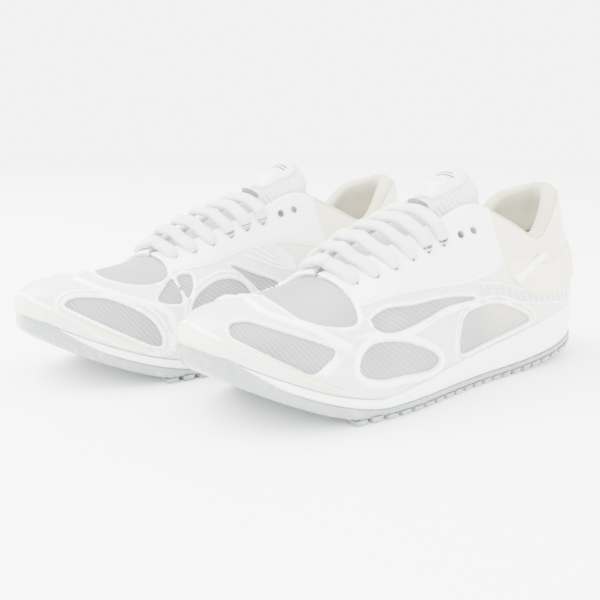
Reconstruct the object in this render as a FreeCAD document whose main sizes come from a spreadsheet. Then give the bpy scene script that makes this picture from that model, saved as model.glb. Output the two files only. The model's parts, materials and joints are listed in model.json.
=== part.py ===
# A pair of low running sneakers, built as two mirrored shoes standing side by side.
# Millimetres. +Z is up, the toes point to -Y, the left shoe stands at +X.
# The left shoe is drawn about its own centre plane x = 0 and then placed; the right one is its mirror image.
import FreeCAD, Part
import math
import os

os.makedirs("parts", exist_ok=True)
Vector = FreeCAD.Vector
doc = FreeCAD.newDocument("sneaker_pair")

# ---------------------------------------------------------------- driving dimensions
SIZES = [
    ("ShoeLength", 300.0, "toe to heel of the sole"),
    ("LateralHalf", 55.0, "centre plane to the outer edge at the ball"),
    ("MedialHalf", 50.0, "centre plane to the inner edge at the ball"),
    ("ToeSpring", 31.0, "rise of the sole's underside at the toe tip"),
    ("HeelBevel", 12.0, "rise of the sole's underside at the back of the heel"),
    ("OutsoleThick", 6.0, "rubber sheet with its lugs"),
    ("LugDepth", 2.6, "grooves between the lugs"),
    ("LugPitch", 10.0, "spacing of the lugs"),
    ("ForefootFoam", 5.0, "midsole foam under the ball"),
    ("HeelFoam", 22.0, "midsole foam under the heel"),
    ("BoardThick", 1.4, "lasting board"),
    ("LinerThick", 4.0, "removable sock liner"),
    ("UpperInset", 3.0, "midsole edge to the upper's outside"),
    ("UpperHeight", 68.0, "midsole top to the collar at the heel"),
    ("UpperThick", 3.0, "padded mesh of vamp and quarters"),
    ("FilmThick", 1.2, "clear film and cage"),
    ("PadThick", 5.0, "collar padding"),
    ("CounterThick", 1.4, "heel counter"),
    ("TongueThick", 4.5, "padded tongue"),
    ("EyeletRadius", 2.4, "punched eyelets"),
    ("LaceRadius", 1.9, "lace"),
    ("Glue", 0.15, "gap between neighbouring layers"),
    ("PairSpacing", 116.0, "between the two centre planes"),
    ("Stagger", 33.0, "the right shoe stands this much further forward"),
]
sheet = doc.addObject("Spreadsheet::Sheet", "Sizes")
for row, (alias, value, note) in enumerate(SIZES, start=1):
    sheet.set(f"A{row}", note)
    sheet.set(f"B{row}", str(value))
    sheet.setAlias(f"B{row}", alias)
doc.recompute()


def size(alias):
    return float(sheet.get(alias))


length = size("ShoeLength")
glue = size("Glue")
thick = size("UpperThick")
film = size("FilmThick")
y_scale = length / 300.0
lateral_scale = size("LateralHalf") / 55.0
medial_scale = size("MedialHalf") / 50.0
height_scale = size("UpperHeight") / 68.0


# ---------------------------------------------------------------- sole lines
TOE_BREAK = -62.0  # the sole lifts in front of this line and behind the next one, at the base length
HEEL_BREAK = 45.0


def sole_bottom(y):
    """Underside of the sole: flat under the foot, sprung at the toe, bevelled at the heel."""
    s = y / y_scale
    z = 0.0
    if s < TOE_BREAK:
        z += size("ToeSpring") * ((TOE_BREAK - s) / (TOE_BREAK + 150.0)) ** 1.6
    if s > HEEL_BREAK:
        z += size("HeelBevel") * ((s - HEEL_BREAK) / (150.0 - HEEL_BREAK)) ** 1.7
    return z


def foam_bottom(y):
    return sole_bottom(y) + size("OutsoleThick")


def foam_top(y):
    ramp = min(1.0, max(0.0, (y / y_scale + 65.0) / 165.0))
    return foam_bottom(y) + size("ForefootFoam") + (size("HeelFoam") - size("ForefootFoam")) * ramp


# Half widths of the sole at the base size: (y, outer side, inner side)
OUTLINE = [
    (-150, 0, 0), (-146, 17, 11.5), (-135, 31, 24), (-118, 42, 36), (-95, 51, 45.5), (-66, 55, 50),
    (-40, 54, 47), (-12, 49.5, 41), (16, 45, 37), (46, 42, 36.5), (76, 41, 37.5), (104, 39, 36.5),
    (128, 31.5, 30), (143, 18, 17), (150, 0, 0),
]


HALF = len(OUTLINE) - 1
TURN = 2 * HALF


def outline_point(k, inset):
    """Point k of the sole's outline, from the toe (0) along the outer side to the heel and back, moved inwards."""
    def at(i):
        i %= TURN
        y, outer, inner = OUTLINE[TURN - i if i > HALF else i]
        x = -inner * medial_scale if i > HALF else outer * lateral_scale
        return x, y * y_scale

    (x0, y0), (x1, y1) = at(k - 1), at(k + 1)
    x, y = at(k)
    run = math.hypot(x1 - x0, y1 - y0)
    return x - inset * (y1 - y0) / run, y + inset * (x1 - x0) / run


# ---------------------------------------------------------------- upper form
# One row for each point of the outline, from the toe tip to the back of the heel, at the base size:
# top edge outer x, inner x, y, height over the foam | bulge at the foot line, rise, reach and drop of the curve
STATIONS = [
    (0, 0, -122, 30, 5, 0.75, 0.62, 0.00),
    (0, 0, -119, 31.5, 5, 0.75, 0.62, 0.00),
    (0, 0, -112, 35, 5, 0.74, 0.60, 0.00),
    (0, 0, -101, 39.5, 5, 0.72, 0.58, 0.00),
    (0, 0, -86, 46, 5, 0.68, 0.56, 0.00),
    (0, 0, -66, 55, 4.5, 0.62, 0.54, 0.02),
    (13, 13, -46, 61, 4, 0.56, 0.50, 0.04),
    (15, 14, -20, 67.5, 3, 0.50, 0.42, 0.08),
    (17, 15, 6, 74.5, 2.5, 0.42, 0.34, 0.14),
    (23, 21, 32, 82, 2, 0.34, 0.28, 0.22),
    (31, 29, 60, 66, 2, 0.30, 0.20, 0.28),
    (31, 30, 89, 50.5, 2.5, 0.30, 0.15, 0.30),
    (25, 25, 113, 66, 3, 0.32, 0.15, 0.30),
    (12, 12, 131, 70, 3, 0.34, 0.15, 0.30),
    (0, 0, 136, 71, 3, 0.34, 0.15, 0.30),
]


def foot_and_edge(k):
    k %= TURN
    inner_side = k > HALF
    edge_out, edge_in, y_edge, rise = STATIONS[TURN - k if inner_side else k][:4]
    x_edge = -edge_in * medial_scale if inner_side else edge_out * lateral_scale
    x_foot, y_foot = outline_point(k, size("UpperInset"))
    y_edge *= y_scale
    foot = (x_foot, y_foot, foam_top(y_foot) + 3 * glue)
    edge = (x_edge, y_edge, foam_top(y_edge) + rise * height_scale)
    return foot, edge


def girth_poles(k):
    """Four poles of the curve that climbs from the foot line to the top edge at station k."""
    foot, edge = foot_and_edge(k)
    before, after = foot_and_edge(k - 1)[0], foot_and_edge(k + 1)[0]
    run_x, run_y = after[0] - before[0], after[1] - before[1]
    run = math.hypot(run_x, run_y)
    out_x, out_y = run_y / run, -run_x / run
    k %= TURN
    bulge, rise, reach, drop = STATIONS[TURN - k if k > HALF else k][4:]
    climb = edge[2] - foot[2]
    plan = math.hypot(foot[0] - edge[0], foot[1] - edge[1])
    low = (foot[0] + out_x * bulge, foot[1] + out_y * bulge, foot[2] + rise * climb)
    high = (edge[0] + out_x * reach * plan, edge[1] + out_y * reach * plan, edge[2] - drop * climb)
    return foot, low, high, edge


GIRTHS = [girth_poles(k) for k in range(TURN)]


def smooth(a, b, c, d, t):
    """Catmull-Rom value between b and c."""
    return 0.5 * (2 * b + (c - a) * t + (2 * a - 5 * b + 4 * c - d) * t * t + (3 * b - 3 * c + d - a) * t ** 3)


THROAT = 5  # the station where the vamp ends and the lace opening starts


def on_ridge(u, v):
    """True where the outer and the inner side of the toe meet on the centre plane."""
    return v > 1 - 1e-9 and min(u % TURN, -u % TURN) <= THROAT


def form(u, v):
    """Point of the upper's outside: u goes round the foot, v climbs from the foot line to the top edge."""
    k, t = int(math.floor(u)), u - math.floor(u)
    near = [GIRTHS[(k + i) % TURN] for i in (-1, 0, 1, 2)]
    poles = [[smooth(*(g[j][i] for g in near), t) for i in range(3)] for j in range(4)]
    w = 1 - v
    weights = (w ** 3, 3 * w * w * v, 3 * w * v * v, v ** 3)
    x, y, z = (sum(weights[j] * poles[j][i] for j in range(4)) for i in range(3))
    if u % HALF < 1e-9 or on_ridge(u, v):
        x = 0.0
    return Vector(x, y, z)


def form_normal(u, v):
    if on_ridge(u, v):
        back = min(u % TURN, -u % TURN)
        ridge = form(back + 0.01, 1) - form(max(0, back - 0.01), 1)
        return Vector(0, -ridge.z, ridge.y).normalize()
    along = form(u + 0.01, v) - form(u - 0.01, v)
    up = form(u, min(1, v + 0.002)) - form(u, max(0, v - 0.002))
    normal = along.cross(up)
    if abs(form(u, v).x) < 1e-6:
        normal.x = 0.0
    return normal.normalize()


def layer(u, v, offset):
    """Point of a layer that lies offset outside the upper's outside."""
    return form(u, v) + form_normal(u, v) * offset


# ---------------------------------------------------------------- solids from grids of points
def clamped_knots(count):
    """Multiplicities and even knots of an open cubic with this many poles."""
    inner = count - 4
    return [4] + [1] * inner + [4], [i / (inner + 1) for i in range(inner + 2)]


def skin(grid):
    """Smooth cubic surface drawn on a grid of points; two grids with the same rim get the same rim curve."""
    u_mults, u_knots = clamped_knots(len(grid))
    v_mults, v_knots = clamped_knots(len(grid[0]))
    surface = Part.BSplineSurface()
    surface.buildFromPolesMultsKnots(grid, u_mults, v_mults, u_knots, v_knots, False, False, 3, 3)
    return surface


def sewn(faces):
    shell = Part.Shell(faces)
    shell.sewShape()
    solid = Part.Solid(shell)
    if solid.Volume < 0:
        solid.reverse()
    return solid


def shell_solid(outside, inside):
    """Closed solid between two grids of points that have the same rows and columns."""
    outer, inner = skin(outside), skin(inside)
    faces = [outer.toShape(), inner.toShape()]
    u0, u1, v0, v1 = outer.bounds()
    p0, p1, q0, q1 = inner.bounds()
    rims = [
        (outer.uIso(u0), inner.uIso(p0)), (outer.uIso(u1), inner.uIso(p1)),
        (outer.vIso(v0), inner.vIso(q0)), (outer.vIso(v1), inner.vIso(q1)),
    ]
    faces += [Part.makeRuledSurface(a.toShape(), b.toShape()) for a, b in rims]
    return sewn(faces)


def spread(low, high, count):
    return [low + (high - low) * i / (count - 1) for i in range(count)]


def layer_grid(u_range, v_range, offset):
    """Grid of a layer, with the same spacing of rows on every layer so that they stay apart evenly."""
    nu = max(5, 1 + round(6 * abs(u_range[1] - u_range[0])))
    nv = max(5, 1 + round(16 * abs(v_range[1] - v_range[0])))
    return [[layer(u, v, offset) for v in spread(*v_range, nv)] for u in spread(*u_range, nu)]


def panel(u_range, v_range, low, high):
    """Layer from offset low to offset high over a stretch of the upper."""
    return shell_solid(layer_grid(u_range, v_range, high), layer_grid(u_range, v_range, low))


def toe_cover(u_end, v_start, low, high):
    """Layer over the whole toe: an outer and an inner half in one solid, joined along the ridge and the tip."""
    faces = []
    for side in (1, -1):
        outer = skin(layer_grid((0, side * u_end), (v_start, 1), high))
        inner = skin(layer_grid((0, side * u_end), (v_start, 1), low))
        u1, v0 = outer.bounds()[1:3]
        p1, q0 = inner.bounds()[1:3]
        faces += [outer.toShape(), inner.toShape()]
        faces.append(Part.makeRuledSurface(outer.uIso(u1).toShape(), inner.uIso(p1).toShape()))
        faces.append(Part.makeRuledSurface(outer.vIso(v0).toShape(), inner.vIso(q0).toShape()))
    return sewn(faces)


def window_prism(u, v, half_length, half_width, depth=9.0):
    """Oval prism that stands on the upper at (u, v), its long axis along the shoe."""
    centre, normal = form(u, v), form_normal(u, v)
    along = (form(u + 0.05, v) - form(u - 0.05, v)).normalize()
    across = normal.cross(along).normalize()
    base = centre - normal * depth
    long_end, short_end = along * half_length, across * half_width
    if half_length < half_width:
        long_end, short_end = across * half_width, along * -half_length
    oval = Part.Ellipse(base + long_end, base + short_end, base)
    return Part.Face(Part.Wire(oval.toShape())).extrude(normal * (2 * depth))


# ---------------------------------------------------------------- document objects
PARTS = {}  # name of the sub-part on one shoe: its object in the document


def keep(name, obj):
    obj.Label = "left_" + name
    PARTS[name] = obj
    return obj


def feature(name, shape):
    obj = doc.addObject("Part::Feature", name)
    obj.Shape = shape
    return keep(name, obj)


def plane_of(body, role):
    return next(f for f in body.Origin.OriginFeatures if f.Role == role)


def closed_spline(points):
    curve = Part.BSplineCurve()
    curve.interpolate(Points=points, PeriodicFlag=True)
    return curve


def padded_body(name, role, geometry, pad_length):
    """PartDesign body: one sketch on an origin plane, padded both ways by an expression on the sheet."""
    body = doc.addObject("PartDesign::Body", name)
    sketch = body.newObject("Sketcher::SketchObject", name + "_sketch")
    sketch.AttachmentSupport = [(plane_of(body, role), "")]
    sketch.MapMode = "FlatFace"
    for piece in geometry:
        sketch.addGeometry(piece, False)
    pad = body.newObject("PartDesign::Pad", name + "_pad")
    pad.Profile = sketch
    pad.Midplane = True
    pad.setExpression("Length", pad_length)
    return body


def profile_lines(low_points, high_points):
    """Closed side profile in the sketch of the YZ plane: an underside and a top, both from toe to heel."""
    loop = low_points + high_points[::-1]
    ends = loop[1:] + loop[:1]
    return [Part.LineSegment(Vector(*a, 0), Vector(*b, 0)) for a, b in zip(loop, ends)]


PROFILE_STEPS = 40


def side_line(height):
    reach = length / 2 + 2
    return [(y, height(y)) for y in spread(-reach, reach, PROFILE_STEPS)]


def sole_layer(name, low_points, high_points, inset):
    """A layer of the sole: its side profile padded across the shoe, kept inside the outline."""
    profile = padded_body(name + "_profile", "YZ_Plane", profile_lines(low_points, high_points),
                          "2 * Sizes.LateralHalf + 2 * Sizes.MedialHalf")
    plan = padded_body(name + "_plan", "XY_Plane", [closed_spline([Vector(*outline_point(k, inset), 0) for k in range(TURN)])],
                       "4 * Sizes.ToeSpring + 8 * Sizes.HeelFoam")
    common = doc.addObject("Part::MultiCommon", name)
    common.Shapes = [profile, plan]
    return keep(name, common)


# ---------------------------------------------------------------- sole
def lugged_line():
    """Underside of the rubber: lugs across the sole from the ball to the heel, smooth under the toe."""
    reach, pitch, depth = length / 2 + 2, size("LugPitch"), size("LugDepth")
    start = TOE_BREAK * y_scale - 3 * pitch
    points = [(y, sole_bottom(y)) for y in spread(-reach, start, 12)]
    y = start
    while y + pitch < reach:
        lug_end, groove_end = y + 0.62 * pitch, y + pitch
        points += [(lug_end, sole_bottom(lug_end)), (lug_end + 0.06 * pitch, sole_bottom(lug_end) + depth)]
        points += [(groove_end - 0.06 * pitch, sole_bottom(groove_end) + depth), (groove_end, sole_bottom(groove_end))]
        y = groove_end
    return points + [(reach, sole_bottom(reach))]


def liner_inset():
    return size("UpperInset") + thick + size("CounterThick") + 4 * glue


def make_sole():
    sole_layer("outsole", lugged_line(), side_line(foam_bottom), 0.0)
    sole_layer("midsole", side_line(lambda y: foam_bottom(y) + 0.02), side_line(foam_top), 1.0)
    board, liner = size("BoardThick"), size("LinerThick")
    sole_layer("lasting_board", side_line(lambda y: foam_top(y) + 0.05),
               side_line(lambda y: foam_top(y) + board), liner_inset())
    sole_layer("sock_liner", side_line(lambda y: foam_top(y) + board + glue),
               side_line(lambda y: foam_top(y) + board + glue + liner), liner_inset() + 0.4)


make_sole()
doc.recompute()


# ---------------------------------------------------------------- upper, from the inside out
FILM_LOW, FILM_HIGH = glue, glue + film  # clear film over the mesh
TRIM_LOW, TRIM_HIGH = FILM_HIGH + glue, FILM_HIGH + glue + film  # trims over the film
COUNTER_HIGH = -thick - glue
COUNTER_LOW = COUNTER_HIGH - size("CounterThick")
EYELETS = [5.35, 5.85, 6.35, 6.9, 7.4, 7.9]  # laced
SPARE_EYELETS = [8.45, 8.8]
EYELET_HEIGHT = 0.82
SIDES = (("lateral", 1), ("medial", -1))
OVALS = {  # windows of the film: station, height up the side, half length, half width
    "toe": [(3.7, 0.27, 29, 8.5), (-3.7, 0.27, 27, 8.5)],
    "lateral": [(6.5, 0.2, 24, 8), (7.6, 0.47, 24, 7), (9.7, 0.27, 15, 9)],
    "medial": [(-5.75, 0.44, 8, 11), (-6.95, 0.24, 15, 9), (-8.35, 0.36, 14, 7.5)],
}


def eyelet_drills(side):
    """One plain cylinder for each hole, its radius read from the sheet, standing square to the upper."""
    drills = []
    for u in EYELETS + SPARE_EYELETS:
        centre, normal = form(side * u, EYELET_HEIGHT), form_normal(side * u, EYELET_HEIGHT)
        drill = doc.addObject("Part::Cylinder", "eyelet")
        drill.setExpression("Radius", "Sizes.EyeletRadius")
        drill.setExpression("Height", "2 * (Sizes.UpperThick + 2 * Sizes.FilmThick) + 4")
        reach = thick + 2 * film + 2
        drill.Placement = FreeCAD.Placement(centre - normal * reach, FreeCAD.Rotation(Vector(0, 0, 1), normal))
        drills.append(drill)
    holes = doc.addObject("Part::MultiFuse", "eyelets")
    holes.Shapes = drills
    return holes


def drilled(name, shape, holes):
    """Panel with the eyelets drilled out."""
    blank = doc.addObject("Part::Feature", name + "_blank")
    blank.Shape = shape
    cut = doc.addObject("Part::Cut", name)
    cut.Base = blank
    cut.Tool = holes
    return keep(name, cut)


def with_windows(shape, ovals):
    for oval in ovals:
        shape = shape.cut(window_prism(*oval))
    return shape.Solids[0]


def make_upper():
    feature("vamp", toe_cover(THROAT, 0, -thick, 0.0))
    toe_film = with_windows(toe_cover(THROAT - 0.15, 0.03, FILM_LOW, FILM_HIGH), OVALS["toe"])
    vent = Part.Ellipse(Vector(25, 0, 0), Vector(0, 15, 0), Vector(0, 0, 0))
    vent_prism = Part.Face(Part.Wire(vent.toShape())).extrude(Vector(0, 0, 60))
    vent_prism.translate(Vector(0, form(4.4, 1).y, form(4.4, 1).z - 25))
    feature("toe_film", toe_film.cut(vent_prism).Solids[0])
    for name, side in SIDES:
        holes = eyelet_drills(side)
        drilled("quarter_" + name, panel((side * (THROAT + 0.02), side * (HALF - 0.02)), (0, 1), -thick, 0.0), holes)
        cage = panel((side * (THROAT + 0.02), side * (HALF - 0.6)), (0.02, 0.985), FILM_LOW, FILM_HIGH)
        drilled("cage_" + name, with_windows(cage, OVALS[name]), holes)
        eyestay = panel((side * (THROAT + 0.15), side * 9.3), (0.6, 0.985), TRIM_LOW, TRIM_HIGH)
        drilled("eyestay_" + name, eyestay, holes)
        feature("foam_welt_" + name, panel((side * 1.8, side * 6.2), (0.035, 0.11), TRIM_LOW, TRIM_HIGH + 0.6))
    feature("toe_bumper", panel((-1.7, 1.7), (0.035, 0.3), TRIM_LOW, TRIM_HIGH + 0.6))
    feature("heel_counter", panel((11.5, 16.5), (0.04, 0.55), COUNTER_LOW, COUNTER_HIGH))
    feature("collar_lining", panel((10.0, 18.0), (0.62, 0.985), COUNTER_HIGH - size("PadThick"), COUNTER_HIGH))
    feature("heel_tab", panel((13.1, 14.9), (0.52, 0.99), TRIM_LOW, TRIM_HIGH))
    feature("heel_clip", panel((12.4, 15.6), (0.03, 0.42), TRIM_LOW, TRIM_HIGH + 1.0))


make_upper()


# ---------------------------------------------------------------- tongue
TONGUE_START = THROAT + 0.3  # stitched just behind the vamp
TONGUE_END = 9.0
TONGUE_WING = 0.12  # how far it reaches down under the eyestays
TONGUE_GAP = 1.0  # room to the inside of the quarters
TONGUE_RISE = 4.0  # crown between the two eyestays
TONGUE_HUMP = 9.0  # more crown behind the last bar of the lace
TONGUE_TOP = [(6, 5), (13, 6)]  # rows beyond the eyestays: further back, higher
TONGUE_SPLIT = 0.8  # share of the rows that lie between the eyestays


def throat_row(u, across):
    """Point on the tongue's upper face at station u: a wing under each eyestay and a crown between them."""
    depth = -thick - TONGUE_GAP
    if abs(across) > 0.5:
        side = math.copysign(1, across)
        return layer(side * u, 1 - (2 * abs(across) - 1) * TONGUE_WING, depth)
    outer, inner = layer(u, 0.9999, depth), layer(-u, 0.9999, depth)
    swell = min(1.0, max(0.0, (u - 8.0) / 0.7))
    rise = TONGUE_RISE + TONGUE_HUMP * swell * swell * (3 - 2 * swell)
    crown = rise * min(1, (outer.x - inner.x) / 26) * (1 - 4 * across * across)
    return inner + (outer - inner) * (across + 0.5) + Vector(0, 0, crown)


def tongue_at(row, across, lift=0.0):
    """Point over the tongue's upper face; row and across run from 0 to 1 and from -1 to 1."""
    throat = row / TONGUE_SPLIT
    if throat <= 1:
        point = throat_row(TONGUE_START + throat * (TONGUE_END - TONGUE_START), across)
        slope = 0.4
    else:
        t = (row - TONGUE_SPLIT) / (1 - TONGUE_SPLIT)
        (back_1, up_1), (back_2, up_2) = TONGUE_TOP
        back = 2 * t * (1 - t) * back_1 + t * t * back_2
        up = 2 * t * (1 - t) * up_1 + t * t * up_2
        point = throat_row(TONGUE_END, across) + Vector(0, back, up)
        point.x *= 1 - 0.12 * t * t
        slope = 0.4 + 0.6 * t
    return point + Vector(0, -math.sin(slope), math.cos(slope)) * lift


def tongue_patch(rows, columns, low, high, nr=16, nc=9):
    """Solid between two lifts over the tongue's upper face; each lift is a function of (row, across)."""
    def grid(lift):
        return [[tongue_at(r, c, lift(r, c)) for c in spread(*columns, nc)] for r in spread(*rows, nr)]

    return shell_solid(grid(high), grid(low))


def tongue_depth(row, across):
    full = size("TongueThick")
    return -full * (0.55 + 0.45 * min(1, row / 0.3)) * (1 - 0.55 * across ** 4)


LOOP_ROWS, LOOP_HALF, LOOP_RISE, LOOP_BAND = (0.605, 0.65), 0.2, 5.0, 1.2
BADGE_ROWS, BADGE_HALF = (0.68, 0.93), 0.32


def loop_arch(across):
    return LOOP_RISE * math.sqrt(max(0.0, 1 - (across / LOOP_HALF) ** 2))


def make_tongue():
    feature("tongue", tongue_patch((0, 1), (-1, 1), tongue_depth, lambda r, c: 0.0, 28, 21))
    feature("tongue_badge", tongue_patch(BADGE_ROWS, (-BADGE_HALF, BADGE_HALF),
                                         lambda r, c: 2 * glue, lambda r, c: 2 * glue + film))
    feature("tongue_loop", tongue_patch(LOOP_ROWS, (-LOOP_HALF, LOOP_HALF),
                                        lambda r, c: glue + loop_arch(c),
                                        lambda r, c: glue + LOOP_BAND + loop_arch(c), 5, 15))


make_tongue()


# ---------------------------------------------------------------- lace
def rounded_path(points, share=0.45):
    """Straight runs joined by tangent arcs, each as large as its two runs allow."""
    edges, start, radii = [], points[0], []
    for a, b, c in zip(points, points[1:], points[2:]):
        into, out = (b - a), (c - b)
        turn = into.getAngle(out)
        setback = share * min(into.Length, out.Length)
        radii.append(setback / math.tan(turn / 2))
        into.normalize()
        out.normalize()
        p, q = b - into * setback, b + out * setback
        bisector = (out - into).normalize()
        middle = b + bisector * (radii[-1] / math.cos(turn / 2) - radii[-1])
        edges += [Part.LineSegment(start, p).toShape(), Part.Arc(p, middle, q).toShape()]
        start = q
    edges.append(Part.LineSegment(start, points[-1]).toShape())
    return Part.Wire(edges), radii


def lace_points():
    """One strand: up through the first eyelet, bar by bar over the tongue, and down through the last eyelet."""
    lift = TRIM_HIGH + size("LaceRadius") + 1.5
    tucked = -thick / 2
    points = [layer(EYELETS[0], EYELET_HEIGHT, tucked)]
    side = 1
    for u in EYELETS:
        near, far = layer(side * u, 0.985, lift), layer(-side * u, 0.985, lift)
        crest = (near + far) * 0.5 + Vector(0, 0, size("LaceRadius") + 0.4)
        points += [layer(side * u, EYELET_HEIGHT, lift), near, crest, far, layer(-side * u, EYELET_HEIGHT, lift)]
        side = -side
    return points + [layer(side * EYELETS[-1], EYELET_HEIGHT, tucked)]


def make_lace():
    path, radii = rounded_path(lace_points())
    start = path.Edges[0]
    ring = Part.Circle(start.Vertexes[0].Point, start.tangentAt(start.FirstParameter), size("LaceRadius"))
    lace = path.makePipeShell([Part.Wire(ring.toShape())], True, False)
    expected = math.pi * size("LaceRadius") ** 2 * path.Length
    print("lace length", round(path.Length), "tightest bend", round(min(radii), 1),
          "volume ratio", round(lace.Volume / expected, 3))
    feature("lace", lace)


make_lace()
doc.recompute()


# ---------------------------------------------------------------- the pair
def place_pair():
    """Stand the left shoe at +X and its mirror image at -X, centred on the origin, soles on z = 0."""
    boxes = [obj.Shape.BoundBox for obj in PARTS.values()]
    middle = (min(b.YMin for b in boxes) + max(b.YMax for b in boxes)) / 2
    spacing, stagger = size("PairSpacing"), size("Stagger")
    twins = {}
    for name, obj in PARTS.items():
        obj.Placement = FreeCAD.Placement(Vector(spacing / 2, stagger / 2 - middle, 0), FreeCAD.Rotation())
        twin = doc.addObject("Part::Mirroring", "right_" + name)
        twin.Source = obj
        twin.Normal = Vector(1, 0, 0)
        twin.Label = "right_" + name
        twin.Placement = FreeCAD.Placement(Vector(0, -stagger, 0), FreeCAD.Rotation())
        twins[name] = twin
    doc.recompute()
    return twins


TWINS = place_pair()


def check(obj):
    if any(state in obj.State for state in ("Invalid", "Error")):
        raise RuntimeError(f"{obj.Label} failed: {obj.State}")
    shape = obj.Shape
    if shape.isNull() or not shape.isValid() or len(shape.Solids) != 1:
        raise RuntimeError(f"{obj.Label} is not one valid solid: {len(shape.Solids)} solids")


for obj in doc.Objects:
    if any(state in obj.State for state in ("Invalid", "Error")):
        raise RuntimeError(f"{obj.Name} failed: {obj.State}")
for obj in list(PARTS.values()) + list(TWINS.values()):
    check(obj)
for obj in list(PARTS.values()) + list(TWINS.values()):
    obj.Shape.exportStep(f"parts/{obj.Label}.step")
    box = obj.Shape.BoundBox
    print(obj.Label, round(obj.Shape.Volume), [round(v, 1) for v in (
        box.XMin, box.YMin, box.ZMin, box.XMax, box.YMax, box.ZMax)])
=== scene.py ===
import json
import math
import bpy
import bmesh
import numpy as np
from mathutils import Vector, Matrix

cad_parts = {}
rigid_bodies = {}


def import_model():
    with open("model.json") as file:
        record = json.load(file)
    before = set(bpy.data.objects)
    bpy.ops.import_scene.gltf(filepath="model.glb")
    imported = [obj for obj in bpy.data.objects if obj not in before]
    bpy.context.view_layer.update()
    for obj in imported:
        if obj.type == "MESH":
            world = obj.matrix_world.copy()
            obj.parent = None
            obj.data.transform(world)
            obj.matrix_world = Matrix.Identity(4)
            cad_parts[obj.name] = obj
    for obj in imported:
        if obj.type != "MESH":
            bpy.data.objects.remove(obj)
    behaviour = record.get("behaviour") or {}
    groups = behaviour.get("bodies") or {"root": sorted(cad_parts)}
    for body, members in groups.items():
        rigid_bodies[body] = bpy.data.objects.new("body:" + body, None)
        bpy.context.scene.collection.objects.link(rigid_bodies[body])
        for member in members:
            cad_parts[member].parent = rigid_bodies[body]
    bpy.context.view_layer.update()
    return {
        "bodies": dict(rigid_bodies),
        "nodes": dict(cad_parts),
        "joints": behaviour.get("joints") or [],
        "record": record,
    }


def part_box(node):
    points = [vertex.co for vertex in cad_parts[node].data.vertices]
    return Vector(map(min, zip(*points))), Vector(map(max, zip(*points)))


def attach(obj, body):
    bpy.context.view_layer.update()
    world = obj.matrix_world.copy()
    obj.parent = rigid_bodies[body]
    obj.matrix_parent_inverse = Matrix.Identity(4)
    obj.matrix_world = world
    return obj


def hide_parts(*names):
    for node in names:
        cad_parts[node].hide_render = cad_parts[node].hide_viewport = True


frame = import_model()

mm = 0.001
turn, heel, throat = 28, 14, 5  # stations round the foot: 0 is the toe tip, 14 the back of the heel

form = {
    "length": 300.0, "toeSpring": 31.0, "heelBevel": 12.0, "toeBreak": -62.0, "heelBreak": 45.0,
    "toeCurve": 1.6, "heelCurve": 1.7, "rampStart": -65.0, "rampEnd": 100.0, "footGap": 0.45,
    "outsole": 6.0, "forefootFoam": 5.0, "heelFoam": 22.0, "upperInset": 3.0, "lugDepth": 2.6,
    # outline of the sole: y, outer half width, inner half width
    "outline": [(-150, 0, 0), (-146, 17, 11.5), (-135, 31, 24), (-118, 42, 36), (-95, 51, 45.5),
                (-66, 55, 50),
                (-40, 54, 47), (-12, 49.5, 41), (16, 45, 37), (46, 42, 36.5), (76, 41, 37.5),
                (104, 39, 36.5),
                (128, 31.5, 30), (143, 18, 17), (150, 0, 0)],
    # top edge of the upper: outer x, inner x, y, height over the foam | bulge, rise, reach, drop of the side
    "stations": [(0, 0, -122, 30, 5, 0.75, 0.62, 0), (0, 0, -119, 31.5, 5, 0.75, 0.62, 0),
                 (0, 0, -112, 35, 5, 0.74, 0.60, 0), (0, 0, -101, 39.5, 5, 0.72, 0.58, 0),
                 (0, 0, -86, 46, 5, 0.68, 0.56, 0), (0, 0, -66, 55, 4.5, 0.62, 0.54, 0.02),
                 (13, 13, -46, 61, 4, 0.56, 0.50, 0.04), (15, 14, -20, 67.5, 3, 0.50, 0.42, 0.08),
                 (17, 15, 6, 74.5, 2.5, 0.42, 0.34, 0.14), (23, 21, 32, 82, 2, 0.34, 0.28, 0.22),
                 (31, 29, 60, 66, 2, 0.30, 0.20, 0.28), (31, 30, 89, 50.5, 2.5, 0.30, 0.15, 0.30),
                 (25, 25, 113, 66, 3, 0.32, 0.15, 0.30), (12, 12, 131, 70, 3, 0.34, 0.15, 0.30),
                 (0, 0, 136, 71, 3, 0.34, 0.15, 0.30)],
}


# the shoe's form
def soleBottom(y):
    y = np.asarray(y, float)
    half = form["length"] / 2
    toe = np.clip((form["toeBreak"] - y) / (form["toeBreak"] + half), 0, None) ** form["toeCurve"]
    back = np.clip((y - form["heelBreak"]) / (half - form["heelBreak"]), 0, None) ** form["heelCurve"]
    return form["toeSpring"] * toe + form["heelBevel"] * back


def foamBottom(y):
    return soleBottom(y) + form["outsole"]


def foamTop(y):
    start, end = form["rampStart"], form["rampEnd"]
    ramp = np.clip((np.asarray(y, float) - start) / (end - start), 0, 1)
    return foamBottom(y) + form["forefootFoam"] + (form["heelFoam"] - form["forefootFoam"]) * ramp


def catmull(a, b, c, d, t):
    square, cube = (2 * a - 5 * b + 4 * c - d) * t ** 2, (3 * b - 3 * c + d - a) * t ** 3
    return 0.5 * (2 * b + (c - a) * t + square + cube)


outlineRing = np.array([(o, y) for y, o, _ in form["outline"]]
                       + [(-i, y) for y, _, i in form["outline"][-2:0:-1]])


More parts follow.
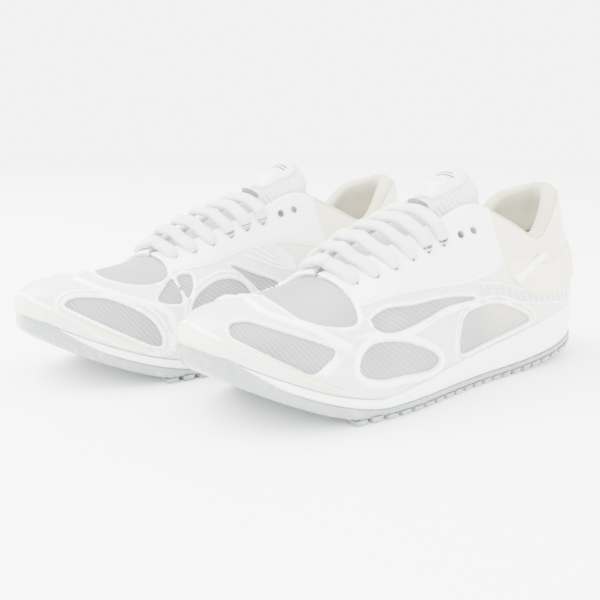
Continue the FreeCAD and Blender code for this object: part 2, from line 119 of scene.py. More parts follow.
def outlineAt(k, inset=0.0):
    # points of the sole's outline at the stations k, moved inwards square to it
    k = np.asarray(k, float)
    i = np.floor(k).astype(int)
    ring = [outlineRing[(i + j) % turn] for j in (-1, 0, 1, 2)]
    t = (k - i)[..., None]
    point = catmull(*ring, t)
    ahead, behind = catmull(*ring, t + 0.02), catmull(*ring, t - 0.02)
    run = ahead - behind
    outward = np.stack([run[..., 1], -run[..., 0]], -1) / np.linalg.norm(run, axis=-1, keepdims=True)
    return point - outward * np.asarray(inset, float)[..., None]


def girthPoles():
    rows = []
    ring = outlineAt(np.arange(turn), form["upperInset"])
    for k in range(turn):
        inner = k > heel
        eOut, eIn, yEdge, lift, bulge, rise, reach, drop = form["stations"][turn - k if inner else k]
        foot = np.array([*ring[k], float(foamTop(ring[k][1])) + form["footGap"]])
        edge = np.array([-eIn if inner else eOut, yEdge, float(foamTop(yEdge)) + lift])
        run = ring[(k + 1) % turn] - ring[k - 1]
        out = np.array([run[1], -run[0], 0]) / np.hypot(*run)
        climb, plan = edge[2] - foot[2], np.hypot(*(foot - edge)[:2])
        low = foot + out * bulge + np.array([0, 0, rise * climb])
        high = edge + out * reach * plan - np.array([0, 0, drop * climb])
        rows.append([foot, low, high, edge])
    return np.array(rows)


girths = girthPoles()


def onRidge(u, v):
    return (v > 1 - 1e-9) & (np.minimum(u % turn, -u % turn) <= throat)


def formPoint(u, v):
    u, v = np.broadcast_arrays(np.asarray(u, float), np.asarray(v, float))
    k = np.floor(u).astype(int)
    poles = catmull(*[girths[(k + j) % turn] for j in (-1, 0, 1, 2)], (u - k)[..., None, None])
    w = 1 - v
    weight = np.stack([w ** 3, 3 * w * w * v, 3 * w * v * v, v ** 3], -1)
    point = np.einsum("...i,...ij->...j", weight, poles)
    point[..., 0][(np.abs(u % heel) < 1e-9) | onRidge(u, v)] = 0
    return point


def unit(a):
    return a / np.maximum(np.linalg.norm(a, axis=-1, keepdims=True), 1e-12)


def formNormal(u, v):
    u, v = np.broadcast_arrays(np.asarray(u, float), np.asarray(v, float))
    inside = np.minimum(v, 0.9985)
    along = formPoint(u + 0.01, inside) - formPoint(u - 0.01, inside)
    up = formPoint(u, np.minimum(inside + 0.002, 1)) - formPoint(u, np.maximum(inside - 0.002, 0))
    normal = np.cross(along, up)
    normal[..., 0][np.abs(u % heel) < 1e-9] = 0
    back = np.minimum(u % turn, -u % turn)
    ridge = formPoint(back + 0.01, 1.0) - formPoint(np.maximum(0, back - 0.01), 1.0)
    top = np.stack([0 * back, -ridge[..., 2], ridge[..., 1]], -1)
    return unit(np.where(onRidge(u, v)[..., None], top, normal))


def layer(u, v, offset):
    return formPoint(u, v) + formNormal(u, v) * np.asarray(offset, float)[..., None]


# lines and windows drawn on the form
def closedCurve(points, count=96):
    p = np.array(points, float)
    t = np.linspace(0, len(p), count, endpoint=False)
    i = np.floor(t).astype(int)
    return catmull(*[p[(i + j) % len(p)] for j in (-1, 0, 1, 2)], (t - i)[:, None])


def openCurve(points, count=60):
    p = np.array(points, float)
    p = np.vstack([2 * p[0] - p[1], p, 2 * p[-1] - p[-2]])
    t = np.linspace(0, len(p) - 3 - 1e-9, count)
    i = np.floor(t).astype(int)
    return catmull(*[p[i + j] for j in range(4)], (t - i)[:, None])


def nearestOn(points, line, closed):
    # distance from each point to a polyline in space, and the nearest place on it
    a = line if closed else line[:-1]
    b = np.roll(line, -1, 0) if closed else line[1:]
    ab = b - a
    best, place = np.full(len(points), 1e9), np.zeros((len(points), 3))
    for start, run in zip(a, ab):
        t = np.clip(((points - start) @ run) / max(run @ run, 1e-12), 0, 1)
        q = start + t[:, None] * run
        d = np.linalg.norm(points - q, axis=1)
        closer = d < best
        best[closer], place[closer] = d[closer], q[closer]
    return best, place


def insideLoop(u, v, loop):
    hit = np.zeros(len(u), bool)
    for (u0, v0), (u1, v1) in zip(loop, np.roll(loop, -1, 0)):
        if v0 == v1:
            continue
        cross = (v0 > v) != (v1 > v)
        hit ^= cross & (u < (u1 - u0) * (v - v0) / (v1 - v0) + u0)
    return hit


def bump(distance, width):
    # rounded ridge profile, 1 on the line and 0 at half its width away
    return np.sqrt(np.clip(1 - (2 * distance / width) ** 2, 0, 1))


def step(x, low, high):
    t = np.clip((x - low) / (high - low), 0, 1)
    return t * t * (3 - 2 * t)


def border(*points):
    # height of a piece's edge as a function of the station, the same on both sides of the shoe
    curve = openCurve(points, 80)

    def heightAt(u):
        w = abs(u)
        return float(np.interp(min(w, turn - w), curve[:, 0], curve[:, 1]))
    return heightAt


def spot(u, v, radius, count=20, squeeze=1.0):
    # a small round window's outline, its radius in millimetres
    e = 1e-3
    long = np.linalg.norm(formPoint(u + e, v) - formPoint(u - e, v)) / (2 * e)
    tall = np.linalg.norm(formPoint(u, v + e) - formPoint(u, v - e)) / (2 * e)
    angle = np.linspace(0, 2 * math.pi, count, endpoint=False)
    return np.column_stack([u + radius * squeeze * np.cos(angle) / long, v + radius * np.sin(angle) / tall])


# meshes
def addMesh(name, points, faces, uv=None, tone=None):
    mesh = bpy.data.meshes.new(name)
    mesh.from_pydata([tuple(p) for p in points * mm], [], [tuple(f) for f in faces])
    if uv is not None:
        cloth = mesh.uv_layers.new(name="cloth")
        index = np.zeros(len(mesh.loops), int)
        mesh.loops.foreach_get("vertex_index", index)
        cloth.data.foreach_set("uv", np.asarray(uv, float)[index].ravel())
    if tone is not None:
        mesh.attributes.new("tone", "FLOAT", "POINT").data.foreach_set("value", np.asarray(tone, float))
    mesh.validate()
    mesh.shade_smooth()
    obj = bpy.data.objects.new(name, mesh)
    bpy.context.collection.objects.link(obj)
    return obj


def sharpen(obj, angle=38):
    obj.data.set_sharp_from_angle(angle=math.radians(angle))
    return obj


class Patch:
    # a stretch of the form as a grid, with windows, ridges and grooves, closed into a thin solid

    def __init__(self, uRange, vRange, grain=1.3, chart=(formPoint, formNormal)):
        self.pointAt, self.normalAt = chart
        vLow, vHigh = [(lambda u, w=w: w) if not callable(w) else w for w in vRange]
        middle = np.linspace(*uRange, 60)
        halfway = 0.5 * (np.array([vLow(u) for u in middle]) + [vHigh(u) for u in middle])
        centre = self.pointAt(middle, halfway)
        long = np.linalg.norm(np.diff(centre, axis=0), axis=1).sum()
        uMid = 0.5 * (uRange[0] + uRange[1])
        rise = self.pointAt(np.full(40, uMid), np.linspace(vLow(uMid), vHigh(uMid), 40))
        tall = np.linalg.norm(np.diff(rise, axis=0), axis=1).sum()
        self.nu, self.nv = max(4, int(long / grain)), max(4, int(tall / grain))
        us = np.linspace(*uRange, self.nu)
        self.stations = np.repeat(us[:, None], self.nv, 1)
        t = np.linspace(0, 1, self.nv)[None, :]
        low, high = np.array([vLow(u) for u in us])[:, None], np.array([vHigh(u) for u in us])[:, None]
        self.levels = low + (high - low) * t
        self.grid, self.normals = self.pointAt(self.stations, self.levels), self.normalAt(self.stations,
                                                                                          self.levels)
        self.clear = np.full(self.stations.shape, 1e3)  # room to the nearest window
        self.edge = self.borderRoom()
        self.height, self.tone = np.zeros(self.stations.shape), np.zeros(self.stations.shape)
        self.snap = {}

    def borderRoom(self):
        alongU = np.linalg.norm(np.diff(self.grid, axis=0), axis=2)
        alongV = np.linalg.norm(np.diff(self.grid, axis=1), axis=2)
        zero = np.zeros((1, self.nv))
        fromStart = np.vstack([zero, np.cumsum(alongU, 0)])
        fromLow = np.hstack([np.zeros((self.nu, 1)), np.cumsum(alongV, 1)])
        self.cloth = np.stack([fromStart[:, self.nv // 2:self.nv // 2 + 1] + 0 * fromLow, fromLow], -1) / 10
        self.rooms = {"start": fromStart, "end": fromStart[-1] - fromStart,
                      "low": fromLow, "high": fromLow[:, -1:] - fromLow}
        return np.minimum.reduce(list(self.rooms.values()))

    def roundOnly(self, *sides):
        self.edge = np.minimum.reduce([self.rooms[s] for s in sides])
        return self

    def window(self, points, cut=True, frame=(), dense=96, smooth=True, outside=False):
        # points are (station, height) pairs; frame rows are (distance, width, height, tone)
        loop = closedCurve(points, dense) if smooth else np.array(points, float)
        line = self.pointAt(loop[:, 0], np.minimum(loop[:, 1], 1.0))
        flat = self.grid.reshape(-1, 3)
        reach = np.linalg.norm(line - line.mean(0), axis=1).max() + 14
        near = np.nonzero(np.linalg.norm(flat - line.mean(0), axis=1) < reach)[0]
        distance, place = nearestOn(flat[near], line, True)
        hole = insideLoop(self.stations.ravel()[near], self.levels.ravel()[near], loop)
        if outside:
            hole = ~hole
        signed = np.full(flat.shape[0], -1e3 if outside else 1e3)
        signed[near] = np.where(hole, -distance, distance)
        signed = signed.reshape(self.stations.shape)
        if cut:
            closer = signed < self.clear
            for index, rim in zip(near, place):
                if closer.ravel()[index]:
                    self.snap[index] = rim
            self.clear = np.minimum(self.clear, signed)
        for away, width, height, tone in frame:
            ridge = bump(np.abs(signed - away), width)
            self.height = self.height + ridge * height
            self.tone = self.tone + ridge * (tone - self.tone)
        return signed

    def ridge(self, points, width, height, tone=0.0, fade=0.0, smooth=True):
        curve = openCurve(points) if smooth else np.array(points, float)
        line = self.pointAt(curve[:, 0], np.minimum(curve[:, 1], 1.0))
        flat = self.grid.reshape(-1, 3)
        distance, place = nearestOn(flat, line, False)
        profile = bump(distance, width).reshape(self.stations.shape)
        if fade:
            ends = np.minimum(np.linalg.norm(flat - line[0], axis=1),
                              np.linalg.norm(flat - line[-1], axis=1))
            profile = profile * step(ends.reshape(self.stations.shape), 0, fade)
        self.height = self.height + profile * height
        self.tone = self.tone + profile * (tone - self.tone)
        return self

    def solid(self, low, high, lip=0.8):
        # returns points, faces, cloth coordinates and tone of the closed solid
        room = np.minimum(self.edge, self.clear)
        quads = [(0, 0), (1, 0), (1, 1), (0, 1)]
        corner = [self.clear[a:self.nu - 1 + a, b:self.nv - 1 + b] for a, b in quads]
        keep = sum(corner) > 0
        index = np.arange(self.nu * self.nv).reshape(self.nu, self.nv)
        ids = np.stack([index[a:self.nu - 1 + a, b:self.nv - 1 + b] for a, b in quads], -1)
        used, gone = set(ids[keep].ravel().tolist()), set(ids[~keep].ravel().tolist())
        skin = self.grid.reshape(-1, 3).copy()
        room = room.ravel().copy()
        for i in used & gone:
            if i in self.snap:
                skin[i] = self.snap[i]
                room[i] = 0
        low, high = [np.broadcast_to(w, self.stations.shape).ravel() for w in (low, high)]
        r = np.minimum(lip, high - low)
        fall = r * (1 - np.sqrt(np.clip(1 - (1 - np.clip(room / r, 0, 1)) ** 2, 0, 1)))
        outward = self.normals.reshape(-1, 3)
        fade = step(room, 0, 1.5)
        lift = high + self.height.ravel() * fade - fall
        outer, inner = skin + outward * lift[:, None], skin + outward * low[:, None]
        order = sorted(used)
        where = {v: n for n, v in enumerate(order)}
        count = len(order)
        faces, edges = [], {}
        for q in ids[keep]:
            a = [where[int(i)] for i in q]
            faces.append(a)
            faces.append([count + i for i in reversed(a)])
            for s, e in zip(a, a[1:] + a[:1]):
                edges[(s, e)] = edges.get((s, e), 0) + 1
        for s, e in [k for k in edges if (k[1], k[0]) not in edges]:
            faces.append([e, s, count + s, count + e])
        points = np.vstack([outer[order], inner[order]])
        cloth = np.tile(self.cloth.reshape(-1, 2)[order], (2, 1))
        return points, faces, cloth, np.tile(self.tone.ravel()[order], 2)


def joinSolids(parts):
    points, faces, cloth, tone, base = [], [], [], [], 0
    for p, f, c, t in parts:
        points.append(p)
        faces += [[base + i for i in face] for face in f]
        cloth.append(c)
        tone.append(t)
        base += len(p)
    return np.vstack(points), faces, np.vstack(cloth), np.concatenate(tone)


def weld(obj, distance=0.02):
    work = bmesh.new()
    work.from_mesh(obj.data)
    bmesh.ops.remove_doubles(work, verts=work.verts, dist=distance * mm)
    # inner walls, where two halves meet
    walls = [f for f in work.faces if sum(len(e.link_faces) > 2 for e in f.edges) >= 2]
    bmesh.ops.delete(work, geom=walls, context="FACES_ONLY")
    bmesh.ops.recalc_face_normals(work, faces=work.faces)
    work.to_mesh(obj.data)
    work.free()
    obj.data.shade_smooth()
    return obj


def sweep(path, normals, halfWide, halfThick, sides=12, power=2.6, twist=None):
    # flat-oval strand along a path; normals point away from what it lies on
    tangent = unit(np.gradient(path, axis=0))
    across = unit(np.cross(tangent, normals))
    upward = np.cross(across, tangent)
    if twist is not None:
        c, s = np.cos(twist)[:, None], np.sin(twist)[:, None]
        across, upward = across * c + upward * s, upward * c - across * s
    angle = np.linspace(0, 2 * math.pi, sides, endpoint=False)
    x = np.sign(np.cos(angle)) * np.abs(np.cos(angle)) ** (2 / power)
    z = np.sign(np.sin(angle)) * np.abs(np.sin(angle)) ** (2 / power)
    wide = np.broadcast_to(np.asarray(halfWide, float), (len(path),))
    thick = np.broadcast_to(np.asarray(halfThick, float), (len(path),))
    rings = path[:, None] + across[:, None] * (x * wide[:, None])[..., None] + upward[:, None] * (
        z * thick[:, None])[..., None]
    points = np.vstack([rings.reshape(-1, 3), path[:1], path[-1:]])
    n, faces = len(path), []
    for i in range(n - 1):
        for j in range(sides):
            k = (j + 1) % sides
            faces.append([i * sides + j, i * sides + k, (i + 1) * sides + k, (i + 1) * sides + j])
    for j in range(sides):
        k = (j + 1) % sides
        faces.append([n * sides, k, j])
        faces.append([n * sides + 1, (n - 1) * sides + j, (n - 1) * sides + k])
    run = np.concatenate([[0], np.cumsum(np.linalg.norm(np.diff(path, axis=0), axis=1))])
    cloth = np.stack([np.repeat(run, sides), np.tile(angle * 2.2, n)], -1) / 10
    cloth = np.vstack([cloth, cloth[:1], cloth[-1:]])
    return points, faces, cloth, np.zeros(len(points))


def ringSolid(rings, ks):
    # closed solid from rings round the sole, each (inset, height function); ladders close the two ends
    n = len(ks)
    points = []
    for inset, height in rings:
        flat = outlineAt(ks, inset(ks) if callable(inset) else np.full(n, inset))
        points.append(np.column_stack([flat, height(flat[:, 1], ks)]))
    points = np.vstack(points)
    faces = []
    for r in range(len(rings) - 1):
        for i in range(n):
            j = (i + 1) % n
            faces.append([r * n + i, r * n + j, (r + 1) * n + j, (r + 1) * n + i])
    top = (len(rings) - 1) * n
    for i in range(n // 2):
        a, b, c, d = i, i + 1, (n - i - 1) % n, (n - i) % n
        for base, flip in ((0, True), (top, False)):
            face = list(dict.fromkeys([base + a, base + b, base + c, base + d]))
            if len(face) > 2:
                faces.append(face[::-1] if flip else face)
    cloth = points[:, :2] / 10
    return points, faces, cloth, np.zeros(len(points))


# finishes
class Value:
    # one output socket of a shader tree, so that maths on it reads as maths
    def __init__(self, graph, socket):
        self.graph, self.socket = graph, socket

    def maths(self, how, first, second):
        return self.graph.node("Math", {"operation": how}, {0: first, 1: second})

    def __add__(self, other):
        return self.maths("ADD", self, other)

    def __radd__(self, other):
        return self.maths("ADD", other, self)

    def __sub__(self, other):
        return self.maths("SUBTRACT", self, other)

    def __rsub__(self, other):
        return self.maths("SUBTRACT", other, self)

    def __mul__(self, other):
        return self.maths("MULTIPLY", self, other)

    def __rmul__(self, other):
        return self.maths("MULTIPLY", other, self)

    def __pow__(self, other):
        return self.maths("POWER", self, other)


class Graph:
    def __init__(self, name):
        self.material = bpy.data.materials.new(name)
        self.material.use_nodes = True
        self.tree = self.material.node_tree
        self.tree.nodes.clear()

    def node(self, kind, settings=None, sockets=None, out=0):
        made = self.tree.nodes.new("ShaderNode" + kind)
        for key, setting in (settings or {}).items():
            setattr(made, key, setting)
        for key, value in (sockets or {}).items():
            socket = made.inputs[key]
            if isinstance(value, Value):
                self.tree.links.new(value.socket, socket)
            elif socket.type == "RGBA":
                socket.default_value = (*value, 1)
            else:
                socket.default_value = value
        return Value(self, made.outputs[out]) if made.outputs else None

    def place(self):
        return self.node("TexCoord", out=3)

    def cloth(self):
        return self.node("UVMap", {"uv_map": "cloth"})

    def tone(self):
        return self.node("Attribute", {"attribute_name": "tone"}, out=2)

    def mix(self, factor, a, b):
        return self.node("Mix", {"data_type": "RGBA"}, {0: factor, 6: a, 7: b}, out=2)

    def between(self, value, low, high):
        return self.node("MapRange", {"interpolation_type": "SMOOTHSTEP"}, {0: value, 1: low, 2: high})

    def noise(self, scale, detail=3.0, where=None):
        return self.node("TexNoise", {}, {"Vector": where or self.place(), "Scale": scale,
                                          "Detail": detail})

    def cells(self, scale, where=None, feature="F1"):
        return self.node("TexVoronoi", {"feature": feature},
                         {"Vector": where or self.place(), "Scale": scale})

    def wave(self, scale, direction="X", where=None, distortion=0.0):
        return self.node("TexWave", {"bands_direction": direction},
                         {"Vector": where or self.cloth(), "Scale": scale, "Distortion": distortion})

    def surface(self, height, depth, sockets):
        normal = self.node("Bump", {}, {"Strength": 1.0, "Distance": depth, "Height": height})
        shader = self.node("BsdfPrincipled", {}, {**sockets, "Normal": normal})
        self.node("OutputMaterial", {}, {"Surface": shader})
        return self.material


def milkyFilm():
    # thin milky film: grey where it lies flat on the mesh, cream over the heel's foam, white on its ribs
    look = {"flat": (0.56, 0.57, 0.56), "cloud": (0.67, 0.675, 0.665), "rib": (0.90, 0.90, 0.885),
            "cream": (0.68, 0.64, 0.49), "gloss": 0.24, "speckle": 900}
    g = Graph("milkyFilm")
    tone, cloud = g.tone(), g.noise(26.0, 2.0)
    flat = g.mix(cloud, look["flat"], look["cloud"])
    warm = g.mix(g.between(0.0 - tone, 0.0, 1.0), flat, look["cream"])
    colour = g.mix(g.between(tone, 0.0, 0.8), warm, look["rib"])
    fine = g.noise(look["speckle"], 2.0)
    return g.surface(fine + 0.5 * g.noise(150.0), 0.00014, {
        "Base Color": colour, "Roughness": look["gloss"] + 0.2 * cloud, "Coat Weight": 0.3,
        "Coat Roughness": 0.14,
        "IOR": 1.47, "Subsurface Weight": 0.1, "Subsurface Scale": 0.004})


def smoothLeather():
    look = {"light": (0.86, 0.865, 0.855), "shade": (0.79, 0.80, 0.795), "grain": 1000.0}
    g = Graph("smoothLeather")
    grain, soft = g.cells(look["grain"], feature="DISTANCE_TO_EDGE"), g.noise(60.0, 4.0)
    return g.surface(grain * 1.6 + soft, 0.00010, {
        "Base Color": g.mix(soft, look["shade"], look["light"]), "Roughness": 0.42 + 0.14 * soft,
        "Coat Weight": 0.08, "Coat Roughness": 0.3, "Subsurface Weight": 0.08, "Subsurface Scale": 0.003})


def ripstop():
    # fine open mesh crossed by a few heavier slanting yarns; it turns cream towards the heel. The near-black
    # between the yarns is painted shade in the gaps of the open weave.
    look = {"deep": (0.20, 0.20, 0.205), "yarn": (0.471, 0.471, 0.476), "heavy": (0.663, 0.663, 0.663),
            "cream": (0.685, 0.653, 0.535), "pitch": 11.0, "slant": 1.7}
    g = Graph("ripstop")
    weave = g.wave(look["pitch"], "X") * g.wave(look["pitch"], "Y")
    heavy = g.wave(look["slant"], "DIAGONAL") ** 12.0
    worn = g.between(g.noise(22.0), 0.3, 0.7)
    # the dark deep colour in the gaps of the weave is painted shade
    grey = g.mix(weave, look["deep"], look["yarn"])
    grey = g.mix(heavy * 0.6, g.mix(worn * 0.5, grey, look["yarn"]), look["heavy"])
    colour = g.mix(g.between(0.0 - g.tone(), 0.0, 1.0), grey, look["cream"])
    return g.surface(weave + 1.2 * heavy, 0.00025, {
        "Base Color": colour, "Roughness": 0.74 + 0.12 * worn, "Sheen Weight": 0.25,
        "Sheen Roughness": 0.4})


def foam(name, light, shade):
    g = Graph(name)
    cloud = g.noise(30.0, 4.0)
    return g.surface(g.cells(1500.0) + 0.6 * g.noise(220.0), 0.00012, {
        "Base Color": g.mix(cloud, shade, light), "Roughness": 0.5 + 0.16 * cloud,
        "Subsurface Weight": 0.1, "Subsurface Scale": 0.004})


def clearRubber():
    look = {"deep": (0.19, 0.215, 0.208), "clear": (0.28, 0.31, 0.298), "dust": (0.46, 0.47, 0.45)}
    g = Graph("clearRubber")
    cloud, dust = g.noise(40.0), g.between(g.noise(240.0, 4.0), 0.5, 0.75)
    colour = g.mix(dust * 0.35, g.mix(cloud, look["deep"], look["clear"]), look["dust"])
    return g.surface(g.noise(520.0), 0.00012, {
        "Base Color": colour, "Roughness": 0.22 + 0.25 * dust, "Coat Weight": 0.3, "Coat Roughness": 0.15,
        "IOR": 1.5, "Subsurface Weight": 0.15, "Subsurface Scale": 0.005})


def knit(name, light, shade, pitch=9.0, fuzz=0.5):
    g = Graph(name)
    stitch = g.wave(pitch, "X", distortion=0.6) * 0.6 + g.wave(pitch * 1.3, "Y", distortion=1.2) * 0.4
    cloud = g.noise(45.0, 4.0)
    colour = g.mix(stitch * 0.4, g.mix(cloud, shade, light), tuple(0.8 * c for c in shade))
    return g.surface(stitch + fuzz * g.noise(1400.0), 0.00028, {
        "Base Color": colour, "Roughness": 0.8 + 0.1 * cloud, "Sheen Weight": 0.45,
        "Sheen Roughness": 0.45})


def laceBraid():
    # tubular braid: two families of slanting yarns round the strand; the grey between the yarns is painted
    # shade
    look = {"light": (0.93, 0.93, 0.925), "gap": (0.70, 0.705, 0.71), "slant": 32.0, "yarn": 4.6}
    g = Graph("laceBraid")
    yarns = []
    for turned in (look["slant"], -look["slant"]):
        where = g.node("Mapping", {}, {"Vector": g.cloth(), "Rotation": (0, 0, math.radians(turned))})
        yarns.append(g.wave(look["yarn"], "X", where))
    braid, cloud = yarns[0] * yarns[1], g.noise(90.0)
    # the grey gap colour where the yarns sink is painted shade
    colour = g.mix(cloud * 0.2, g.mix(braid, look["gap"], look["light"]), (0.82, 0.815, 0.80))
    return g.surface(braid + 0.4 * g.noise(1800.0, 2.0), 0.00045, {
        "Base Color": colour, "Roughness": 0.78 + 0.1 * cloud, "Sheen Weight": 0.35,
        "Sheen Roughness": 0.5})


def webbing():
    g = Graph("greyWebbing")
    ribs, cloud = g.wave(6.5, "DIAGONAL"), g.noise(120.0, 2.0)
    return g.surface(ribs + 0.3 * cloud, 0.0004, {
        "Base Color": g.mix(ribs, (0.12, 0.125, 0.13), (0.30, 0.305, 0.31)),
        "Roughness": 0.78 + 0.1 * cloud,
        "Sheen Weight": 0.3, "Sheen Roughness": 0.5})


def fibrous(name, tone, depth):
    g = Graph(name)
    fibres = g.noise(300.0, 5.0)
    return g.surface(fibres, depth, {
        "Base Color": g.mix(fibres, tuple(0.8 * c for c in tone), tone), "Roughness": 0.66 + 0.12 * fibres})


looks = {
    "film": milkyFilm(), "leather": smoothLeather(), "mesh": ripstop(),
    "cream": foam("creamFoam", (0.76, 0.72, 0.55), (0.68, 0.64, 0.46)),
    "foam": foam("whiteFoam", (0.90, 0.90, 0.895), (0.84, 0.845, 0.85)), "rubber": clearRubber(),
    "collar": knit("collarKnit", (0.74, 0.70, 0.49), (0.65, 0.61, 0.41)),
    "tongue": knit("tongueKnit", (0.86, 0.86, 0.83), (0.80, 0.805, 0.79), 7.0),
    "liner": knit("linerKnit", (0.66, 0.65, 0.54), (0.58, 0.57, 0.47)),
    "lace": laceBraid(), "webbing": webbing(),
    "board": fibrous("fibreBoard", (0.52, 0.45, 0.33), 0.0003),
    "counter": fibrous("counterShell", (0.66, 0.66, 0.64), 0.0001),
    "thread": fibrous("whiteThread", (0.86, 0.865, 0.87), 0.0002),
    "print": fibrous("darkPrint", (0.07, 0.072, 0.08), 0.00003),
}
print("finishes ready")


# where the two shoes stand
def shoePlaces():
    places = {}
    _, outer, inner = max(form["outline"], key=lambda row: row[1] + row[2])  # the widest row
    for side, sign in (("left", 1), ("right", -1)):
        low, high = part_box(side + "_outsole")
        middle = (low + high) / 2 / mm
        places[side] = np.array([middle.x - sign * (outer - inner) / 2, middle.y, 0.0])
    return places


shoePlace = shoePlaces()


def dress(name, data, part, stands, look, angle=40):
    # the same piece for both shoes; the right one is mirrored
    points, faces, cloth, tone = data
    made = []
    for side, sign in (("left", 1), ("right", -1)):
        placed = points * np.array([sign, 1, 1]) + shoePlace[side]
        wound = faces if sign > 0 else [f[::-1] for f in faces]
        obj = sharpen(weld(addMesh(side + name, placed, wound, cloth, tone)), angle)
        obj.data.materials.append(looks[look])
        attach(obj, f"{side}_{part}")
        if stands:
            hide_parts(*[f"{side}_{s}" for s in stands])
        made.append(obj)
    print(name, sum(len(o.data.polygons) for o in made), "faces")
    return made


# what repeats along a line: lugs, stitches, perforations
def repeatTree(shape):
    # one small solid at each step along the lines, turned along the line and standing on the surface
    tree = bpy.data.node_groups.new("repeatAlong", "GeometryNodeTree")
    tree.interface.new_socket("Lines", in_out="INPUT", socket_type="NodeSocketGeometry")
    for label, value in (("Pitch", 0.01), ("Long", 0.006), ("Wide", 0.006), ("Tall", 0.002)):
        tree.interface.new_socket(label, in_out="INPUT",
                                  socket_type="NodeSocketFloat").default_value = value
    tree.interface.new_socket("Solids", in_out="OUTPUT", socket_type="NodeSocketGeometry")
    new, link = tree.nodes.new, tree.links.new
    given, result = new("NodeGroupInput"), new("NodeGroupOutput")
    curve, resample = new("GeometryNodeMeshToCurve"), new("GeometryNodeResampleCurve")
    resample.mode = "LENGTH"
    link(given.outputs["Lines"], curve.inputs[0])
    link(curve.outputs[0], resample.inputs["Curve"])
    link(given.outputs["Pitch"], resample.inputs["Length"])
    rise = new("GeometryNodeInputNamedAttribute")
    rise.data_type = "FLOAT_VECTOR"
    rise.inputs["Name"].default_value = "rise"
    along, upright = new("FunctionNodeAlignRotationToVector"), new("FunctionNodeAlignRotationToVector")
    along.axis, upright.axis, upright.pivot_axis = "X", "Z", "X"
    link(new("GeometryNodeInputTangent").outputs[0], along.inputs["Vector"])
    link(along.outputs[0], upright.inputs["Rotation"])
    link(rise.outputs[0], upright.inputs["Vector"])
    size = new("ShaderNodeCombineXYZ")
    for index, label in enumerate(("Long", "Wide", "Tall")):
        link(given.outputs[label], size.inputs[index])
    item, place = new("GeometryNodeObjectInfo"), new("GeometryNodeInstanceOnPoints")
    item.inputs["Object"].default_value = shape
    link(resample.outputs[0], place.inputs["Points"])
    link(item.outputs["Geometry"], place.inputs["Instance"])
    link(upright.outputs[0], place.inputs["Rotation"])
    link(size.outputs[0], place.inputs["Scale"])
    real, paint = new("GeometryNodeRealizeInstances"), new("GeometryNodeSetMaterial")
    link(place.outputs[0], real.inputs[0])
    link(real.outputs[0], paint.inputs["Geometry"])
    link(paint.outputs[0], result.inputs[0])
    return tree, paint


def smallShape(kind):
    # a rounded block, a bead or a disc, one unit across
    work = bmesh.new()
    if kind == "block":
        bmesh.ops.create_cube(work, size=1.0)
        for v in work.verts:
            if v.co.z < 0:
                v.co.x *= 0.84
                v.co.y *= 0.84
        bmesh.ops.bevel(work, geom=work.edges[:], offset=0.09, segments=2, profile=0.6, affect="EDGES")
    elif kind == "bead":
        bmesh.ops.create_uvsphere(work, u_segments=8, v_segments=5, radius=0.5)
    else:
        bmesh.ops.create_cone(work, cap_ends=True, segments=10, radius1=0.5, radius2=0.38, depth=1.0)
    mesh = bpy.data.meshes.new(kind)
    work.to_mesh(mesh)
    work.free()
    return bpy.data.objects.new(kind, mesh)


def repeated(lines, kind, look, pitch, long, wide, tall):
    # lines is a list of (points, rises, closed); returns the solids as mesh data
    points, rises, edges = [], [], []
    for path, rise, closed in lines:
        base = len(points)
        points += list(path)
        rises += list(np.broadcast_to(rise, np.shape(path)))
        edges += [(base + i, base + i + 1) for i in range(len(path) - 1)]
        if closed:
            edges.append((base + len(path) - 1, base))
    mesh = bpy.data.meshes.new("lines")
    mesh.from_pydata([tuple(p) for p in np.array(points) * mm], edges, [])
    upright = mesh.attributes.new("rise", "FLOAT_VECTOR", "POINT")
    upright.data.foreach_set("vector", np.array(rises, float).ravel())
    carrier = bpy.data.objects.new("lines", mesh)
    bpy.context.collection.objects.link(carrier)
    shape = smallShape(kind)
    tree, paint = repeatTree(shape)
    paint.inputs["Material"].default_value = looks[look]
    modifier = carrier.modifiers.new("repeat", "NODES")
    modifier.node_group = tree
    sizes = {"Pitch": pitch, "Long": long, "Wide": wide, "Tall": tall}
    for item in tree.interface.items_tree:
        if item.name in sizes:
            modifier[item.identifier] = sizes[item.name] * mm
    graph = bpy.context.evaluated_depsgraph_get()
    made = bpy.data.meshes.new_from_object(carrier.evaluated_get(graph))
    at = np.array([v.co for v in made.vertices]) / mm
    faces = [list(f.vertices) for f in made.polygons]
    for thing in (carrier, shape):
        bpy.data.objects.remove(thing)
    return at, faces, np.zeros((len(at), 2)), np.zeros(len(at))


def onForm(points, offset, count=80, closed=False):
    # a line drawn on the form, with the direction that stands off it
    line = closedCurve(points, count) if closed else openCurve(points, count)
    u, v = line[:, 0], np.minimum(line[:, 1], 1.0)
    return layer(u, v, np.full(len(u), offset)), formNormal(u, v), closed


# the sole
sole = {"groove": 0.56, "grooveDepth": 0.45, "toeLip": 9.0, "heelLip": 17.0, "lugStart": -74.0, "wall": 0.9,
        "stations": 420, "lugPitch": 10.0, "lugLong": 7.2, "lugWide": 9.0, "lugInset": 4.2,
        # the sock liner's section: inset, height over the foam
        "liner": [(20.0, 1.8), (8.2, 1.8), (7.4, 2.6), (7.2, 4.2), (8.0, 5.3), (10.0, 5.5), (20.0, 5.0)]}
soleStations = np.linspace(0, turn, sole["stations"], endpoint=False)


def plateBottom(y, k=None):
    # the rubber is smooth and full under the toe and thinner where the lugs stand
    return soleBottom(y) + form["lugDepth"] * step(y, sole["lugStart"] - 8, sole["lugStart"] + 4)


def lipHeight(k):
    # how far the rubber climbs over the foam: a bumper at the toe, a strip up the back of the heel
    toe, back = np.minimum(k, turn - k), np.abs(k - heel)
    return sole["toeLip"] * (1 - step(toe, 0.5, 3.3)) + sole["heelLip"] * (1 - step(back, 0.4, 1.0))


